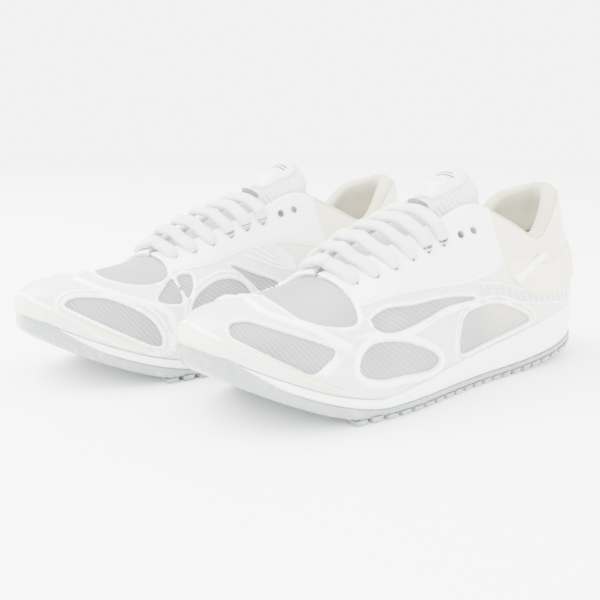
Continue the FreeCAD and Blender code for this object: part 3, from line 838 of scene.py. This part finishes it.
def makeSole():
    def share(part):
        return lambda y, k: foamBottom(y) + part * (foamTop(y) - foamBottom(y))

    g = sole["groove"]
    wall = [(14.0, 0.0), (2.4, 0.0), (1.2, 0.03), (0.8, 0.12), (0.6, g - 0.08),
            (0.6 + sole["grooveDepth"], g),
            (0.6, g + 0.08), (0.8, 0.86), (1.4, 0.95), (2.8, 1.0), (14.0, 1.0)]

    def behindLip(inset):
        return lambda k: inset + 1.2 * (1 - step(np.minimum(k, turn - k), 0.4, 2.0))

    midsole = ringSolid([(behindLip(inset), share(part)) for inset, part in wall], soleStations)
    dress("Midsole", midsole, "shoe", ["midsole"], "foam", 50)

    def outer(k):
        toe = 1 - step(np.minimum(k, turn - k), 0.4, 2.6)
        return -0.1 - 0.6 * step(lipHeight(k), 0, 2) + 1.8 * toe

    def under(k):
        # the underside turns up in a wide curve at the toe
        return outer(k) + 6.0 * (1 - step(np.minimum(k, turn - k), 0.6, 3.2))

    def top(y, k):
        return foamBottom(y) + lipHeight(k)

    def lean(k):
        return outer(k) + 0.16 * lipHeight(k)

    rings = [(14.0, plateBottom), (lambda k: under(k) + 3.5, plateBottom),
             (lambda k: 0.8 * under(k) + 0.2 * outer(k) + 1.2, lambda y, k: plateBottom(y) + 0.2),
             (lambda k: 0.4 * under(k) + 0.6 * outer(k) + 0.4, lambda y, k: plateBottom(y) + 1.1),
             (lambda k: 0.1 * under(k) + 0.9 * outer(k), lambda y, k: plateBottom(y) + 2.6),
             (outer, lambda y, k: foamBottom(y) - 0.3), (lean, lambda y, k: top(y, k) - 0.4),
             (lambda k: lean(k) + 0.25, top), (lambda k: lean(k) + sole["wall"], top),
             (lambda k: outer(k) + sole["wall"] + 0.3, lambda y, k: foamBottom(y) - 0.05),
             (14.0, lambda y, k: foamBottom(y) - 0.05)]
    dress("Outsole", ringSolid(rings, soleStations), "shoe", ["outsole"], "rubber", 50)

    # lugs round the edge and in two rows down the middle
    edge = outlineAt(np.linspace(4.5, turn - 4.5, 200), np.full(200, sole["lugInset"]))
    middle = [np.column_stack([np.full(60, x), np.linspace(-62, 118, 60)]) for x in (-20.0, 0.0, 20.0)]
    lines = [(np.column_stack([p, plateBottom(p[:, 1]) - form["lugDepth"] / 2 + 0.1]), (0, 0, 1), False)
             for p in [edge, *middle]]
    lugs = repeated(lines, "block", "rubber", sole["lugPitch"], sole["lugLong"], sole["lugWide"],
                    form["lugDepth"] + 0.2)
    dress("Lugs", lugs, "shoe", [], "rubber", 50)

    def above(lift):
        return lambda y, k: foamTop(y) + lift

    liner = [(inset, above(lift)) for inset, lift in sole["liner"]]
    dress("SockLiner", ringSolid(liner, soleStations[::2]), "shoe", ["sock_liner"], "liner",
          60)


makeSole()


# the upper's layers; a rib is (line, width, height, whiteness), a window (outline, ribs round it)
def warmth(u, v):
    # the heel half shows cream foam through the film
    w = np.minimum(np.abs(u), turn - np.abs(u))
    return -0.9 * step(w, 7.6, 9.2) * (0.55 + 0.45 * step(v, 0.05, 0.3))


upper = {
    "filmGrain": 0.85, "meshGrain": 1.8, "mesh": (-3.0, -0.05), "film": (0.15, 1.35), "trim": (1.5, 2.7),
    "eyelets": [5.35, 5.85, 6.35, 6.9, 7.4, 7.9], "spares": [8.45, 8.8],
    "eyeletHeight": {1: 0.76, -1: 0.82},
    "eyeletRadius": 2.3, "filmLow": 0.0, "filmTop": 0.985,
}
doubleRib = ((1.3, 1.9, 0.9, 0.95), (3.0, 0.9, -0.4, 0.0), (4.6, 2.0, 0.9, 0.95))
lateral = {
    "windows": [
        ([(1.55, 0.46), (2.0, 0.52), (2.5, 0.48), (3.2, 0.40), (3.9, 0.32), (4.05, 0.27), (3.8, 0.18),
          (3.5, 0.10),
          (3.1, 0.125), (2.5, 0.18), (2.0, 0.235), (1.6, 0.30)], ((0.9, 1.4, 0.5, 0.6),)),
        ([(4.5, 0.16), (4.65, 0.26), (5.0, 0.31), (5.6, 0.275), (6.4, 0.16), (6.75, 0.07), (6.4, 0.045),
          (5.5, 0.09),
          (4.75, 0.11)], ((2.4, 4.0, 1.2, 1.0), (5.6, 1.2, -0.5, 0.0))),
        ([(5.1, 0.46), (5.15, 0.38), (5.6, 0.34), (6.5, 0.34), (7.4, 0.345), (8.3, 0.33), (7.7, 0.38),
          (7.1, 0.41),
          (6.3, 0.45), (5.6, 0.50)], ((1.1, 1.7, 0.7, 0.9),)),
        ([(7.5, 0.06), (7.5, 0.15), (7.8, 0.25), (8.4, 0.27), (9.0, 0.25), (9.6, 0.18), (9.9, 0.08),
          (9.4, 0.05),
          (8.4, 0.035), (7.8, 0.03)], doubleRib),
        ([(3.1, 1.05), (4.9, 1.05), (4.85, 0.50), (4.0, 0.48), (3.4, 0.62)], ((1.4, 2.2, 0.8, 0.95),)),
    ],
    "ribs": [
        ([(2.0, 1.0), (2.35, 0.8), (2.8, 0.60), (3.7, 0.45), (4.1, 0.35), (4.4, 0.28)], 5.2, 1.7, 1.0),
        ([(3.7, 0.10), (4.1, 0.23)], 4.0, 1.0, 0.95),
        ([(4.3, 0.40), (4.6, 0.46), (4.9, 0.50), (5.05, 0.42), (5.25, 0.37)], 1.9, 1.0, 1.0),
        ([(5.05, 0.42), (5.6, 0.31), (6.5, 0.305), (7.4, 0.31), (8.4, 0.295)], 1.9, 0.9, 1.0),
        ([(4.5, 0.36), (5.0, 0.37), (5.6, 0.345)], 1.7, 0.8, 0.95),
        ([(8.1, 0.42), (8.35, 0.33), (9.0, 0.27), (10.0, 0.245), (10.8, 0.17), (11.3, 0.08)], 1.8, 0.9,
         0.8),
        ([(8.3, 0.46), (8.6, 0.405), (9.2, 0.385), (10.1, 0.355), (11.0, 0.28), (12.0, 0.12)], 1.8, 0.9,
         0.8),
        ([(6.6, 0.265), (6.85, 0.29), (7.2, 0.29), (7.35, 0.27), (7.1, 0.235), (6.75, 0.235), (6.6, 0.265)],
         1.3, -0.7, -0.1),
        ([(7.45, 0.27), (7.65, 0.295), (7.95, 0.28), (7.8, 0.24), (7.5, 0.235), (7.45, 0.27)], 1.3, -0.7,
         -0.1),
        ([(0.0, 0.36), (1.5, 0.20), (2.4, 0.12), (3.2, 0.06), (3.9, 0.06)], 2.2, 0.8, 0.9),
    ],
}
medial = {
    "windows": [
        ([(-2.0, 0.3), (-2.3, 0.43), (-3.2, 0.45), (-4.1, 0.28), (-4.3, 0.08), (-3.6, 0.12), (-2.6, 0.22)],
         ((1.1, 1.7, 0.6, 0.8), (4.4, 1.6, 0.5, 0.8))),
        ([(-4.4, 0.43), (-4.85, 0.60), (-4.95, 0.58), (-4.95, 0.42), (-4.8, 0.38)],
         ((1.1, 1.7, 0.6, 0.9),)),
        ([(-5.05, 0.42), (-5.05, 0.60), (-5.4, 0.60), (-5.3, 0.48)], ((1.1, 1.7, 0.6, 0.9),)),
        ([(-5.05, 0.3), (-5.4, 0.42), (-6.1, 0.47), (-6.7, 0.38), (-6.9, 0.2), (-6.4, 0.1), (-5.6, 0.1),
          (-5.1, 0.16)],
         ((1.2, 1.8, 0.8, 0.95), (4.4, 1.8, 0.7, 0.9))),
        ([(-6.5, 0.55), (-7.1, 0.42), (-7.8, 0.30), (-7.8, 0.2), (-7.3, 0.25), (-6.9, 0.38)],
         ((1.2, 1.7, 0.7, 0.9),)),
        ([(-8.2, 0.08), (-8.1, 0.2), (-8.6, 0.29), (-9.4, 0.27), (-10.2, 0.18), (-10.4, 0.07),
          (-9.4, 0.04)], doubleRib),
        ([(-3.1, 1.05), (-3.2, 0.78), (-4.1, 0.60), (-4.9, 0.66), (-4.9, 1.05)], ((1.4, 2.2, 0.8, 0.95),)),
    ],
    "ribs": [
        ([(-1.9, 0.83), (-3.2, 0.53), (-4.4, 0.35), (-4.6, 0.2), (-4.5, 0.05)], 5.0, 1.6, 1.0),
        ([(-2.0, 1.0), (-1.95, 0.92), (-1.9, 0.83)], 5.0, 1.6, 1.0),
        ([(-2.5, 0.12), (-3.4, 0.04), (-4.3, 0.035)], 2.4, 0.9, 0.95),
        ([(0.0, 0.36), (-1.5, 0.22), (-2.2, 0.16), (-3.0, 0.05)], 2.2, 0.8, 0.9),
    ] + [([(-8.4, 0.36 + 0.015 * i), (-7.7 - 0.05 * i, 0.44 + 0.03 * i),
           (-6.9 - 0.18 * i, 0.60 + 0.036 * i)],
          1.7, 0.8, 0.8) for i in range(6)],
}
sideNames = {1: "lateral", -1: "medial"}
sideDetails = {1: lateral, -1: medial}


def decorate(patch, sign):
    patch.tone = warmth(patch.stations, patch.levels)
    for outline, frames in sideDetails[sign]["windows"]:
        patch.window(outline, frame=frames)
    for line, width, height, tone in sideDetails[sign]["ribs"]:
        patch.ridge(line, width, height, tone, fade=2.5)
    return patch


def makeCells():
    # two rows of small raised blocks that run from the waist to the heel
    rows = []
    for lift in (0.0, 0.032, 0.064):
        line = [(8.55, 0.325 + lift), (9.1, 0.30 + lift), (10.0, 0.275 + lift), (10.9, 0.20 + lift),
                (11.6, 0.11 + lift)]
        rows.append(onForm(line, upper["film"][1] + 0.1))
    dress("CageCells", repeated(rows, "block", "film", 6.2, 4.6, 1.9, 1.1), "shoe", [],
          "film", 50)


def drillEyelets(patch, sign, radius, frame=()):
    for u in upper["eyelets"] + upper["spares"]:
        patch.window(spot(sign * u, upper["eyeletHeight"][sign], radius), frame=frame, smooth=False)
    return patch


def makeUpper():
    toeMesh = []
    toeFilm = []
    for sign in (1, -1):
        vamp = Patch((0, sign * throat), (0.0, 1.0), upper["meshGrain"]).roundOnly("low")
        toeMesh.append(vamp.solid(*upper["mesh"], 0.5))
        film = Patch((0, sign * throat), (upper["filmLow"], 1.0), upper["filmGrain"]).roundOnly("low")
        toeFilm.append(decorate(film, sign).solid(*upper["film"]))
    dress("Vamp", joinSolids(toeMesh), "shoe", ["vamp"], "mesh")
    dress("ToeFilm", joinSolids(toeFilm), "shoe", ["toe_film"], "film")
    for sign in (1, -1):
        side = sideNames[sign]
        quarter = Patch((sign * throat, sign * heel), (0.0, 1.0), upper["meshGrain"]).roundOnly("low",
                                                                                                "high")
        quarter.tone = warmth(quarter.stations, quarter.levels)
        drillEyelets(quarter, sign, upper["eyeletRadius"])
        dress("Quarter_" + side, quarter.solid(*upper["mesh"], 1.2), "shoe", ["quarter_" + side],
              "mesh")
        cage = Patch((sign * throat, sign * heel), (upper["filmLow"], upper["filmTop"]), upper["filmGrain"])
        decorate(cage.roundOnly("low", "high"), sign)
        drillEyelets(cage, sign, upper["eyeletRadius"] + 0.3)
        dress("Cage_" + side, cage.solid(*upper["film"]), "shoe", ["cage_" + side], "film")


makeUpper()
makeCells()


# what is laid over the film
trims = {
    "saddleLow": {1: [(5.0, 0.56), (6.0, 0.55), (7.0, 0.49), (8.0, 0.44), (9.0, 0.46), (9.45, 0.56)],
                  -1: [(5.0, 0.66), (6.0, 0.62), (7.0, 0.62), (8.0, 0.60), (9.0, 0.52), (9.45, 0.6)]},
    "saddle": (5.02, 9.4), "grain": 0.9,
    "cupLow": [(9.4, 0.50), (9.8, 0.36), (10.4, 0.29), (11.2, 0.25), (12.5, 0.235), (14.0, 0.23)],
    "cupHigh": [(9.4, 0.54), (10.0, 0.66), (10.8, 0.68), (11.6, 0.60), (12.4, 0.53), (14.0, 0.50)],
    "cup": (9.5, 18.5), "cupPuff": 1.0,
    "tab": (13.05, 14.95), "tabHeight": (0.515, 0.99),
    "weltLow": [(1.2, 0.20), (1.8, 0.155), (2.4, 0.105), (3.0, 0.06), (3.5, 0.035), (4.3, 0.03)],
    "weltHigh": [(1.2, 0.225), (1.8, 0.22), (2.4, 0.175), (3.0, 0.125), (3.5, 0.09), (4.3, 0.035)],
    "welt": (1.3, 4.2),
}


def makeTrims():
    low, high = upper["trim"]
    for sign in (1, -1):
        side = sideNames[sign]
        a, b = trims["saddle"]
        edge = border(*trims["saddleLow"][sign])
        saddle = Patch((sign * a, sign * b), (edge, 0.985), trims["grain"])
        saddle.height = saddle.height - 0.75 * (1 - step(saddle.rooms["low"], 0, 9)) * step(saddle.edge,
                                                                                            0.0, 0.5)
        drillEyelets(saddle, sign, upper["eyeletRadius"], frame=((0.9, 1.7, 0.5, 1.0),))
        dress("Eyestay_" + side, saddle.solid(low, high), "shoe", ["eyestay_" + side],
              "leather")
        u = np.linspace(a + 0.12, b - 0.12, 90)
        line = np.column_stack([sign * u, [edge(x) + 0.028 for x in u]])
        stitches = repeated([(layer(line[:, 0], line[:, 1], np.full(90, high + 0.1)),
                              formNormal(line[:, 0], line[:, 1]), False)], "bead", "thread", 2.6, 2.0, 0.7,
                              0.5)
        dress("Stitches_" + side, stitches, "shoe", [], "thread", 60)
        a, b = trims["welt"]
        welt = Patch((sign * a, sign * b), (border(*trims["weltLow"]), border(*trims["weltHigh"])), 0.9)
        welt.height = welt.height + 1.0 * bump(np.abs(welt.rooms["low"] - welt.rooms["high"]), 12)
        dress("FoamWelt_" + side, welt.solid(low, high + 0.4, 1.4), "shoe", ["foam_welt_" + side],
              "cream")

    bumper = [Patch((0, sign * 1.5), (0.02, border((0, 0.30), (0.8, 0.27), (1.5, 0.16))), 0.9)
              .roundOnly("low", "high", "end").solid(low - 0.6, high - 1.0, 1.0) for sign in (1, -1)]
    dress("ToeBumper", joinSolids(bumper), "shoe", ["toe_bumper"], "cream")

    strap = Patch((9.3, 11.2), (0.40, 0.84), 0.7)
    strap.tone = strap.tone + 0.9
    strap.window([(9.52, 0.455), (9.72, 0.42), (11.02, 0.76), (10.84, 0.80)], outside=True, smooth=False,
                 frame=((-1.3, 0.9, 0.3, 1.0),))
    dress("QuarterStrap", strap.solid(high + 0.1, high + 1.0, 0.6), "shoe", [], "film", 50)

    cup = Patch(trims["cup"], (border(*trims["cupLow"]), border(*trims["cupHigh"])), 1.1)
    room = np.minimum(np.minimum(cup.rooms["low"], cup.rooms["high"]), 8) / 8
    ends = step(np.minimum(cup.rooms["start"], cup.rooms["end"]), 0, 12)
    cup.height = trims["cupPuff"] * np.sqrt(np.clip(room, 0, 1)) * ends
    cup.ridge([(10.9, 0.27), (11.3, 0.42), (12.4, 0.49), (14, 0.47), (15.6, 0.49), (16.7, 0.42),
               (17.1, 0.27)],
              1.6, -0.8, 0.0)
    dress("HeelClip", cup.solid(low, high - 0.2, 1.4), "shoe", ["heel_clip"], "cream")

    tab = Patch(trims["tab"], trims["tabHeight"], 0.9)
    tab.height = tab.height + 0.5 * step(tab.edge, 2, 6)
    dress("HeelTab", tab.solid(low, high, 1.0), "shoe", ["heel_tab"], "leather")
    a, b = trims["tab"]
    v = np.linspace(0.54, 0.97, 40)
    sides = [np.column_stack([np.full(40, x), v]) for x in (a + 0.14, b - 0.14)]
    stitches = repeated([(layer(s[:, 0], s[:, 1], np.full(40, high + 0.2)), formNormal(s[:, 0], s[:, 1]),
                          False)
                         for s in sides], "bead", "thread", 2.6, 2.0, 0.7, 0.5)
    dress("HeelStitches", stitches, "shoe", [], "thread", 60)


makeTrims()


# the padded collar: a roll over the top edge and a lining down the inside
collar = {"stations": (8.9, 19.1), "along": 300, "steps": 16, "edge": 0.985, "inside": 0.60, "depth": 10.2,
          "roll": 4.2, "puff": 1.2, "backing": -3.3}


def collarData():
    us = np.linspace(*collar["stations"], collar["along"])
    taper = step(us, us[0], us[0] + 0.9) * step(-us, -us[-1], -us[-1] + 0.9)
    steps, top = collar["steps"], collar["edge"]
    edge, normal = formPoint(us, top), formNormal(us, top)
    upward = unit(edge - formPoint(us, 0.93))
    inward = collar["depth"] * (0.5 + 0.5 * taper)
    roll = collar["roll"] * (0.35 + 0.65 * taper)
    rings = []
    for i, u in enumerate(us):
        down = np.linspace(0, 1, steps)[1:]
        v = top - (top - collar["inside"]) * (0.35 + 0.65 * taper[i]) * down
        puff = collar["puff"] * (1 - np.cos(2 * math.pi * down)) * taper[i]
        lining = layer(np.full(steps - 1, u), v, -inward[i] + puff)
        angle = np.linspace(0, math.pi, steps)
        middle = edge[i] - normal[i] * (inward[i] - 0.3) / 2
        arch = [middle + normal[i] * (inward[i] + 0.3) / 2 * math.cos(a) + upward[i] * roll[i] * math.sin(a)
                for a in angle]
        back = layer(np.full(steps - 1, u), v, collar["backing"])[::-1]
        rings.append(np.vstack([arch, lining, back]))
    rings = np.array(rings)
    n, m = rings.shape[:2]
    points = rings.reshape(-1, 3)
    faces = [[i * m + j, i * m + (j + 1) % m, (i + 1) * m + (j + 1) % m, (i + 1) * m + j]
             for i in range(n - 1) for j in range(m)]
    faces += [list(range(m))[::-1], [(n - 1) * m + j for j in range(m)]]
    run = np.concatenate([[0], np.cumsum(np.linalg.norm(np.diff(rings[:, 8], axis=0), axis=1))])
    girth = np.concatenate([[0], np.cumsum(np.linalg.norm(np.diff(rings[n // 2], axis=0), axis=1))])
    cloth = np.stack([np.repeat(run, m), np.tile(girth, n)], -1) / 10
    return points, faces, cloth, np.zeros(len(points))


dress("CollarLining", collarData(), "shoe", ["collar_lining"], "collar", 60)


# the tongue
tongue = {"start": 5.3, "end": 9.0, "wing": 0.12, "depth": -4.0, "rise": 4.0, "hump": 9.0, "split": 0.8,
          "thick": 4.5, "top": [(6, 5), (13, 6)], "puff": 2.4}


def throatRow(u, across):
    # upper face of the tongue at station u: a wing under each eyestay and a crown between them
    d = tongue["depth"]
    side = np.where(across >= 0, 1, -1)
    beyond = np.clip(2 * np.abs(across) - 1, 0, 1)
    wing = layer(side * u, 1 - beyond * tongue["wing"] - 1e-4, np.full(u.shape, d))
    outer, inner = [layer(s * u, np.full(u.shape, 0.9999), np.full(u.shape, d)) for s in (1, -1)]
    rise = tongue["rise"] + tongue["hump"] * step(u, 8.0, 8.7)
    crown = rise * np.minimum(1, (outer[..., 0] - inner[..., 0]) / 26) * (1 - 4 * across ** 2)
    middle = inner + (outer - inner) * (across + 0.5)[..., None]
    middle[..., 2] += crown
    return np.where((np.abs(across) > 0.5)[..., None], wing, middle)


def tonguePoint(row, across):
    row, across = [np.asarray(a, float) for a in np.broadcast_arrays(row, across)]
    down = np.minimum(row / tongue["split"], 1)
    point = throatRow(tongue["start"] + down * (tongue["end"] - tongue["start"]), across)
    t = np.clip((row - tongue["split"]) / (1 - tongue["split"]), 0, None)
    (back1, up1), (back2, up2) = tongue["top"]
    point[..., 1] += 2 * t * (1 - t) * back1 + t * t * back2
    point[..., 2] += 2 * t * (1 - t) * up1 + t * t * up2
    point[..., 0] *= 1 - 0.12 * t * t
    return point


def tongueNormal(row, across):
    row, across = [np.asarray(a, float) for a in np.broadcast_arrays(row, across)]
    e = 0.004
    along = tonguePoint(np.minimum(row + e, 1), across) - tonguePoint(np.maximum(row - e, 0), across)
    over = tonguePoint(row, np.minimum(across + e, 1)) - tonguePoint(row, np.maximum(across - e, -1))
    normal = unit(np.cross(over, along))
    return normal * np.where(normal[..., 2:] < -0.2, -1, 1)


tongueChart = (tonguePoint, tongueNormal)


def rowOf(u):
    return (u - tongue["start"]) / (tongue["end"] - tongue["start"]) * tongue["split"]


def makeTongue():
    pad = Patch((0, 1), (-1, 1), 1.1, tongueChart)
    full = tongue["thick"] * (0.55 + 0.45 * np.minimum(1,
                                                       pad.stations / 0.3)) * (1 - 0.55 * pad.levels ** 4)
    for a, b in zip(upper["eyelets"][:-1], upper["eyelets"][1:]):
        middle, half = rowOf((a + b) / 2), (rowOf(b) - rowOf(a)) / 2
        middleOnly = (np.abs(pad.levels) < 0.62) * (1 - step(np.abs(pad.levels), 0.3, 0.6))
        pad.height = pad.height + tongue["puff"] * bump(np.abs(pad.stations - middle),
                                                        2 * half) * middleOnly
    pad.height = pad.height + 1.6 * step(pad.stations, 0.60,
                                         0.68) * (1 - step(np.abs(pad.levels), 0.45, 0.7))
    dress("Tongue", pad.solid(-full, 0.0, 2.2), "tongue", ["tongue"], "tongue", 60)

    plate = Patch((0.665, 0.95), (-0.33, 0.33), 0.55, tongueChart)
    plate.tone = plate.tone + 0.15
    outline = [(0.668, -0.20), (0.69, -0.29), (0.74, -0.32), (0.88, -0.32), (0.93, -0.28), (0.945, -0.18),
               (0.945, 0.18),
               (0.93, 0.28), (0.88, 0.32), (0.74, 0.32), (0.69, 0.29), (0.668, 0.20)]
    plate.window(outline, outside=True, smooth=False, frame=((-1.8, 1.3, 0.3, 1.0),))
    octagon = [(0.745 + 0.034 * math.sin(a),
                0.17 * math.cos(a)) for a in (np.arange(8) + 0.5) * math.pi / 4]
    plate.window(octagon, cut=False, smooth=False, frame=((0.0, 1.0, 0.35, 1.0),))
    dress("TongueBadge", plate.solid(1.65, 2.6, 0.6), "tongue", ["tongue_badge"], "film", 50)
    bars = [Patch((0.825 + 0.03 * i, 0.84 + 0.03 * i), (-0.19, 0.17 - 0.06 * i), 0.5,
                  tongueChart).solid(2.55, 2.8, 0.2)
            for i in range(2)]
    dress("BadgeBars", joinSolids(bars), "tongue", [], "print", 50)

    half = np.linspace(-0.2, 0.2, 40)
    arch = 5.0 * np.sqrt(np.clip(1 - (half / 0.2) ** 2, 0, 1)) + 1.2
    loop = tonguePoint(np.full(40, 0.627), half) + tongueNormal(np.full(40, 0.627), half) * arch[:, None]
    band = sweep(loop, np.tile([0, -0.35, 0.94], (40, 1)), 0.6, 2.6, 16, 3.0)
    dress("TongueLoop", band, "tongue", ["tongue_loop"], "webbing", 60)

    holes = []
    for side in (-1, 1):
        for across in (0.36, 0.40, 0.44, 0.48):
            rows = np.linspace(0.62, 0.80, 30)
            away = np.full(30, side * across)
            at, stand = tonguePoint(rows, away), tongueNormal(rows, away)
            holes.append((at + stand * (1.6 * (1 - float(step(across, 0.45, 0.7))) - 0.05), stand, False))
    dress("Perforations", repeated(holes, "disc", "webbing", 3.0, 0.9, 0.9, 0.3), "tongue", [],
          "webbing")


makeTongue()


# the lace: one strand, bar by bar over the tongue, tucked from eyelet to eyelet under the saddle
lace = {"halfWide": 4.0, "halfThick": 2.2, "crest": 5.2, "off": 5.2, "tuck": -3.4, "twist": 0.2,
        "sides": 16,
        "forward": -3.5}


def barPath(index, u):
    wobble = math.sin(5.1 * index + 1.3)
    outerEnd, innerEnd = (u, upper["eyeletHeight"][1]), (-u, upper["eyeletHeight"][-1])
    nodes = []
    for (w, v), order in ((outerEnd, 1), (innerEnd, -1)):
        rise = [(v, lace["tuck"]), (v, 0.6), (v + 0.02, 4.2), ((v + 0.985) / 2 + 0.02, 5.6),
                (0.985, lace["off"] + 0.6)]
        side = [layer(w, h, np.asarray(off, float)) for h, off in rise]
        nodes.append(side if order == 1 else side[::-1])
    span = min(1.0, (nodes[0][-1][0] - nodes[1][0][0]) / 30)
    crest = (nodes[0][-1] + nodes[1][0]) / 2 + np.array([0.8 * wobble, lace["forward"] + 0.7 * wobble,
                                                         lace["crest"] * span])
    quarterA, quarterB = [(nodes[k][j] + crest) / 2 + np.array([0, 0, 2.0 * span]) for k,
                          j in ((0, -1), (1, 0))]
    return np.array([*nodes[0], quarterA, crest, quarterB, *nodes[1]])


def makeLace():
    parts = []
    for index, u in enumerate(upper["eyelets"]):
        nodes = barPath(index, u)
        path = openCurve(nodes, 90)
        share = np.linspace(0, 1, 90)
        squeeze = 0.62 + 0.38 * step(share, 0.08, 0.20) * step(-share, -0.92, -0.80)
        spine = unit(np.array([0.0, 1.0, 0.55]))  # along the foot, up towards the ankle
        normals = unit(np.cross(spine, unit(np.gradient(path, axis=0))))
        turned = (normals @ np.array([0, 0, 1.0]) < 0) & (share > 0.15) & (share < 0.85)
        normals *= np.where(turned[:, None], -1, 1)
        lean = lace["twist"] * math.sin(3.7 * index + 0.4) * np.sin(math.pi * share)
        parts.append(sweep(path, normals, lace["halfWide"] * squeeze, lace["halfThick"] * squeeze,
                           lace["sides"], 2.5, lean))
    for index, (a, b) in enumerate(zip(upper["eyelets"][:-1], upper["eyelets"][1:])):
        sign = -1 if index % 2 == 0 else 1
        u = np.linspace(a, b, 12) * sign
        v = np.full(12, upper["eyeletHeight"][sign])
        parts.append(sweep(layer(u, v, np.full(12, lace["tuck"] - 0.1)), formNormal(u, v), 1.6, 0.5, 10))
    dress("Lace", joinSolids(parts), "shoe", ["lace"], "lace", 70)


makeLace()

for side in ("left", "right"):
    for name, look, slotName in (("lasting_board", "board", "fibre_board"),
                                 ("heel_counter", "counter", "counter_plastic")):
        node = frame["nodes"][f"{side}_{name}"]
        node.data.materials.clear()
        node.data.materials.append(looks[look])


# floor, light, camera
room = {"floor": 6.0, "tone": (0.93, 0.93, 0.925), "world": 6.4, "key": 150.0, "fill": 28.0,
        "aim": (0, 0, 0.05)}


def makeRoom():
    g = Graph("paleFloor")
    cloud = g.noise(2.5, 2.0)
    g.surface(g.noise(160.0), 0.0001, {"Base Color": g.mix(cloud, room["tone"],
                                                           tuple(1.02 * c for c in room["tone"])),
                                       "Roughness": 0.6 + 0.1 * cloud})
    low = min(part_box(n)[0].z for n in frame["nodes"])
    half = room["floor"] / 2
    mesh = bpy.data.meshes.new("floor")
    mesh.from_pydata([(-half, -half, low), (half, -half, low), (half, half, low), (-half, half, low)], [],
                     [(0, 1, 2, 3)])
    mesh.materials.append(g.material)
    floor = bpy.data.objects.new("floor", mesh)
    bpy.context.collection.objects.link(floor)
    world = bpy.data.worlds.new("studio")
    world.use_nodes = True
    world.node_tree.nodes["Background"].inputs[0].default_value = (0.985, 0.985, 1.0, 1)
    world.node_tree.nodes["Background"].inputs[1].default_value = room["world"]
    bpy.context.scene.world = world
    for name, at, size, power, tint in (("key", (-0.9, -0.9, 1.5), 1.4, room["key"], (1, 0.985, 0.96)),
                                        ("fill", (1.5, -0.7, 0.9), 1.6, room["fill"], (0.95, 0.97, 1.0))):
        data = bpy.data.lights.new(name, "AREA")
        data.energy, data.size, data.color = power, size, tint
        lamp = bpy.data.objects.new(name, data)
        bpy.context.collection.objects.link(lamp)
        lamp.location = at
        aim = Vector(room["aim"]) - Vector(at)
        lamp.rotation_euler = aim.to_track_quat("-Z", "Y").to_euler()


view = {"target": (0.0455, -0.0495, 0.0518), "azimuth": 49.8, "height": 11.0, "roll": 0.75,
        "distance": 0.494,
        "lens": 54.0}


def makeCamera():
    az, p = math.radians(view["azimuth"]), math.radians(view["height"])
    back = Vector((math.sin(az) * math.cos(p), -math.cos(az) * math.cos(p), math.sin(p)))
    data = bpy.data.cameras.new("camera")
    data.lens, data.sensor_width, data.clip_start = view["lens"], 36.0, 0.01
    camera = bpy.data.objects.new("camera", data)
    bpy.context.collection.objects.link(camera)
    turned = back.to_track_quat("Z", "Y").to_matrix() @ Matrix.Rotation(math.radians(view["roll"]), 3, "Z")
    place = Vector(view["target"]) + back * view["distance"]
    camera.matrix_world = Matrix.Translation(place) @ turned.to_4x4()
    bpy.context.scene.camera = camera


makeRoom()
makeCamera()

print("dressed")
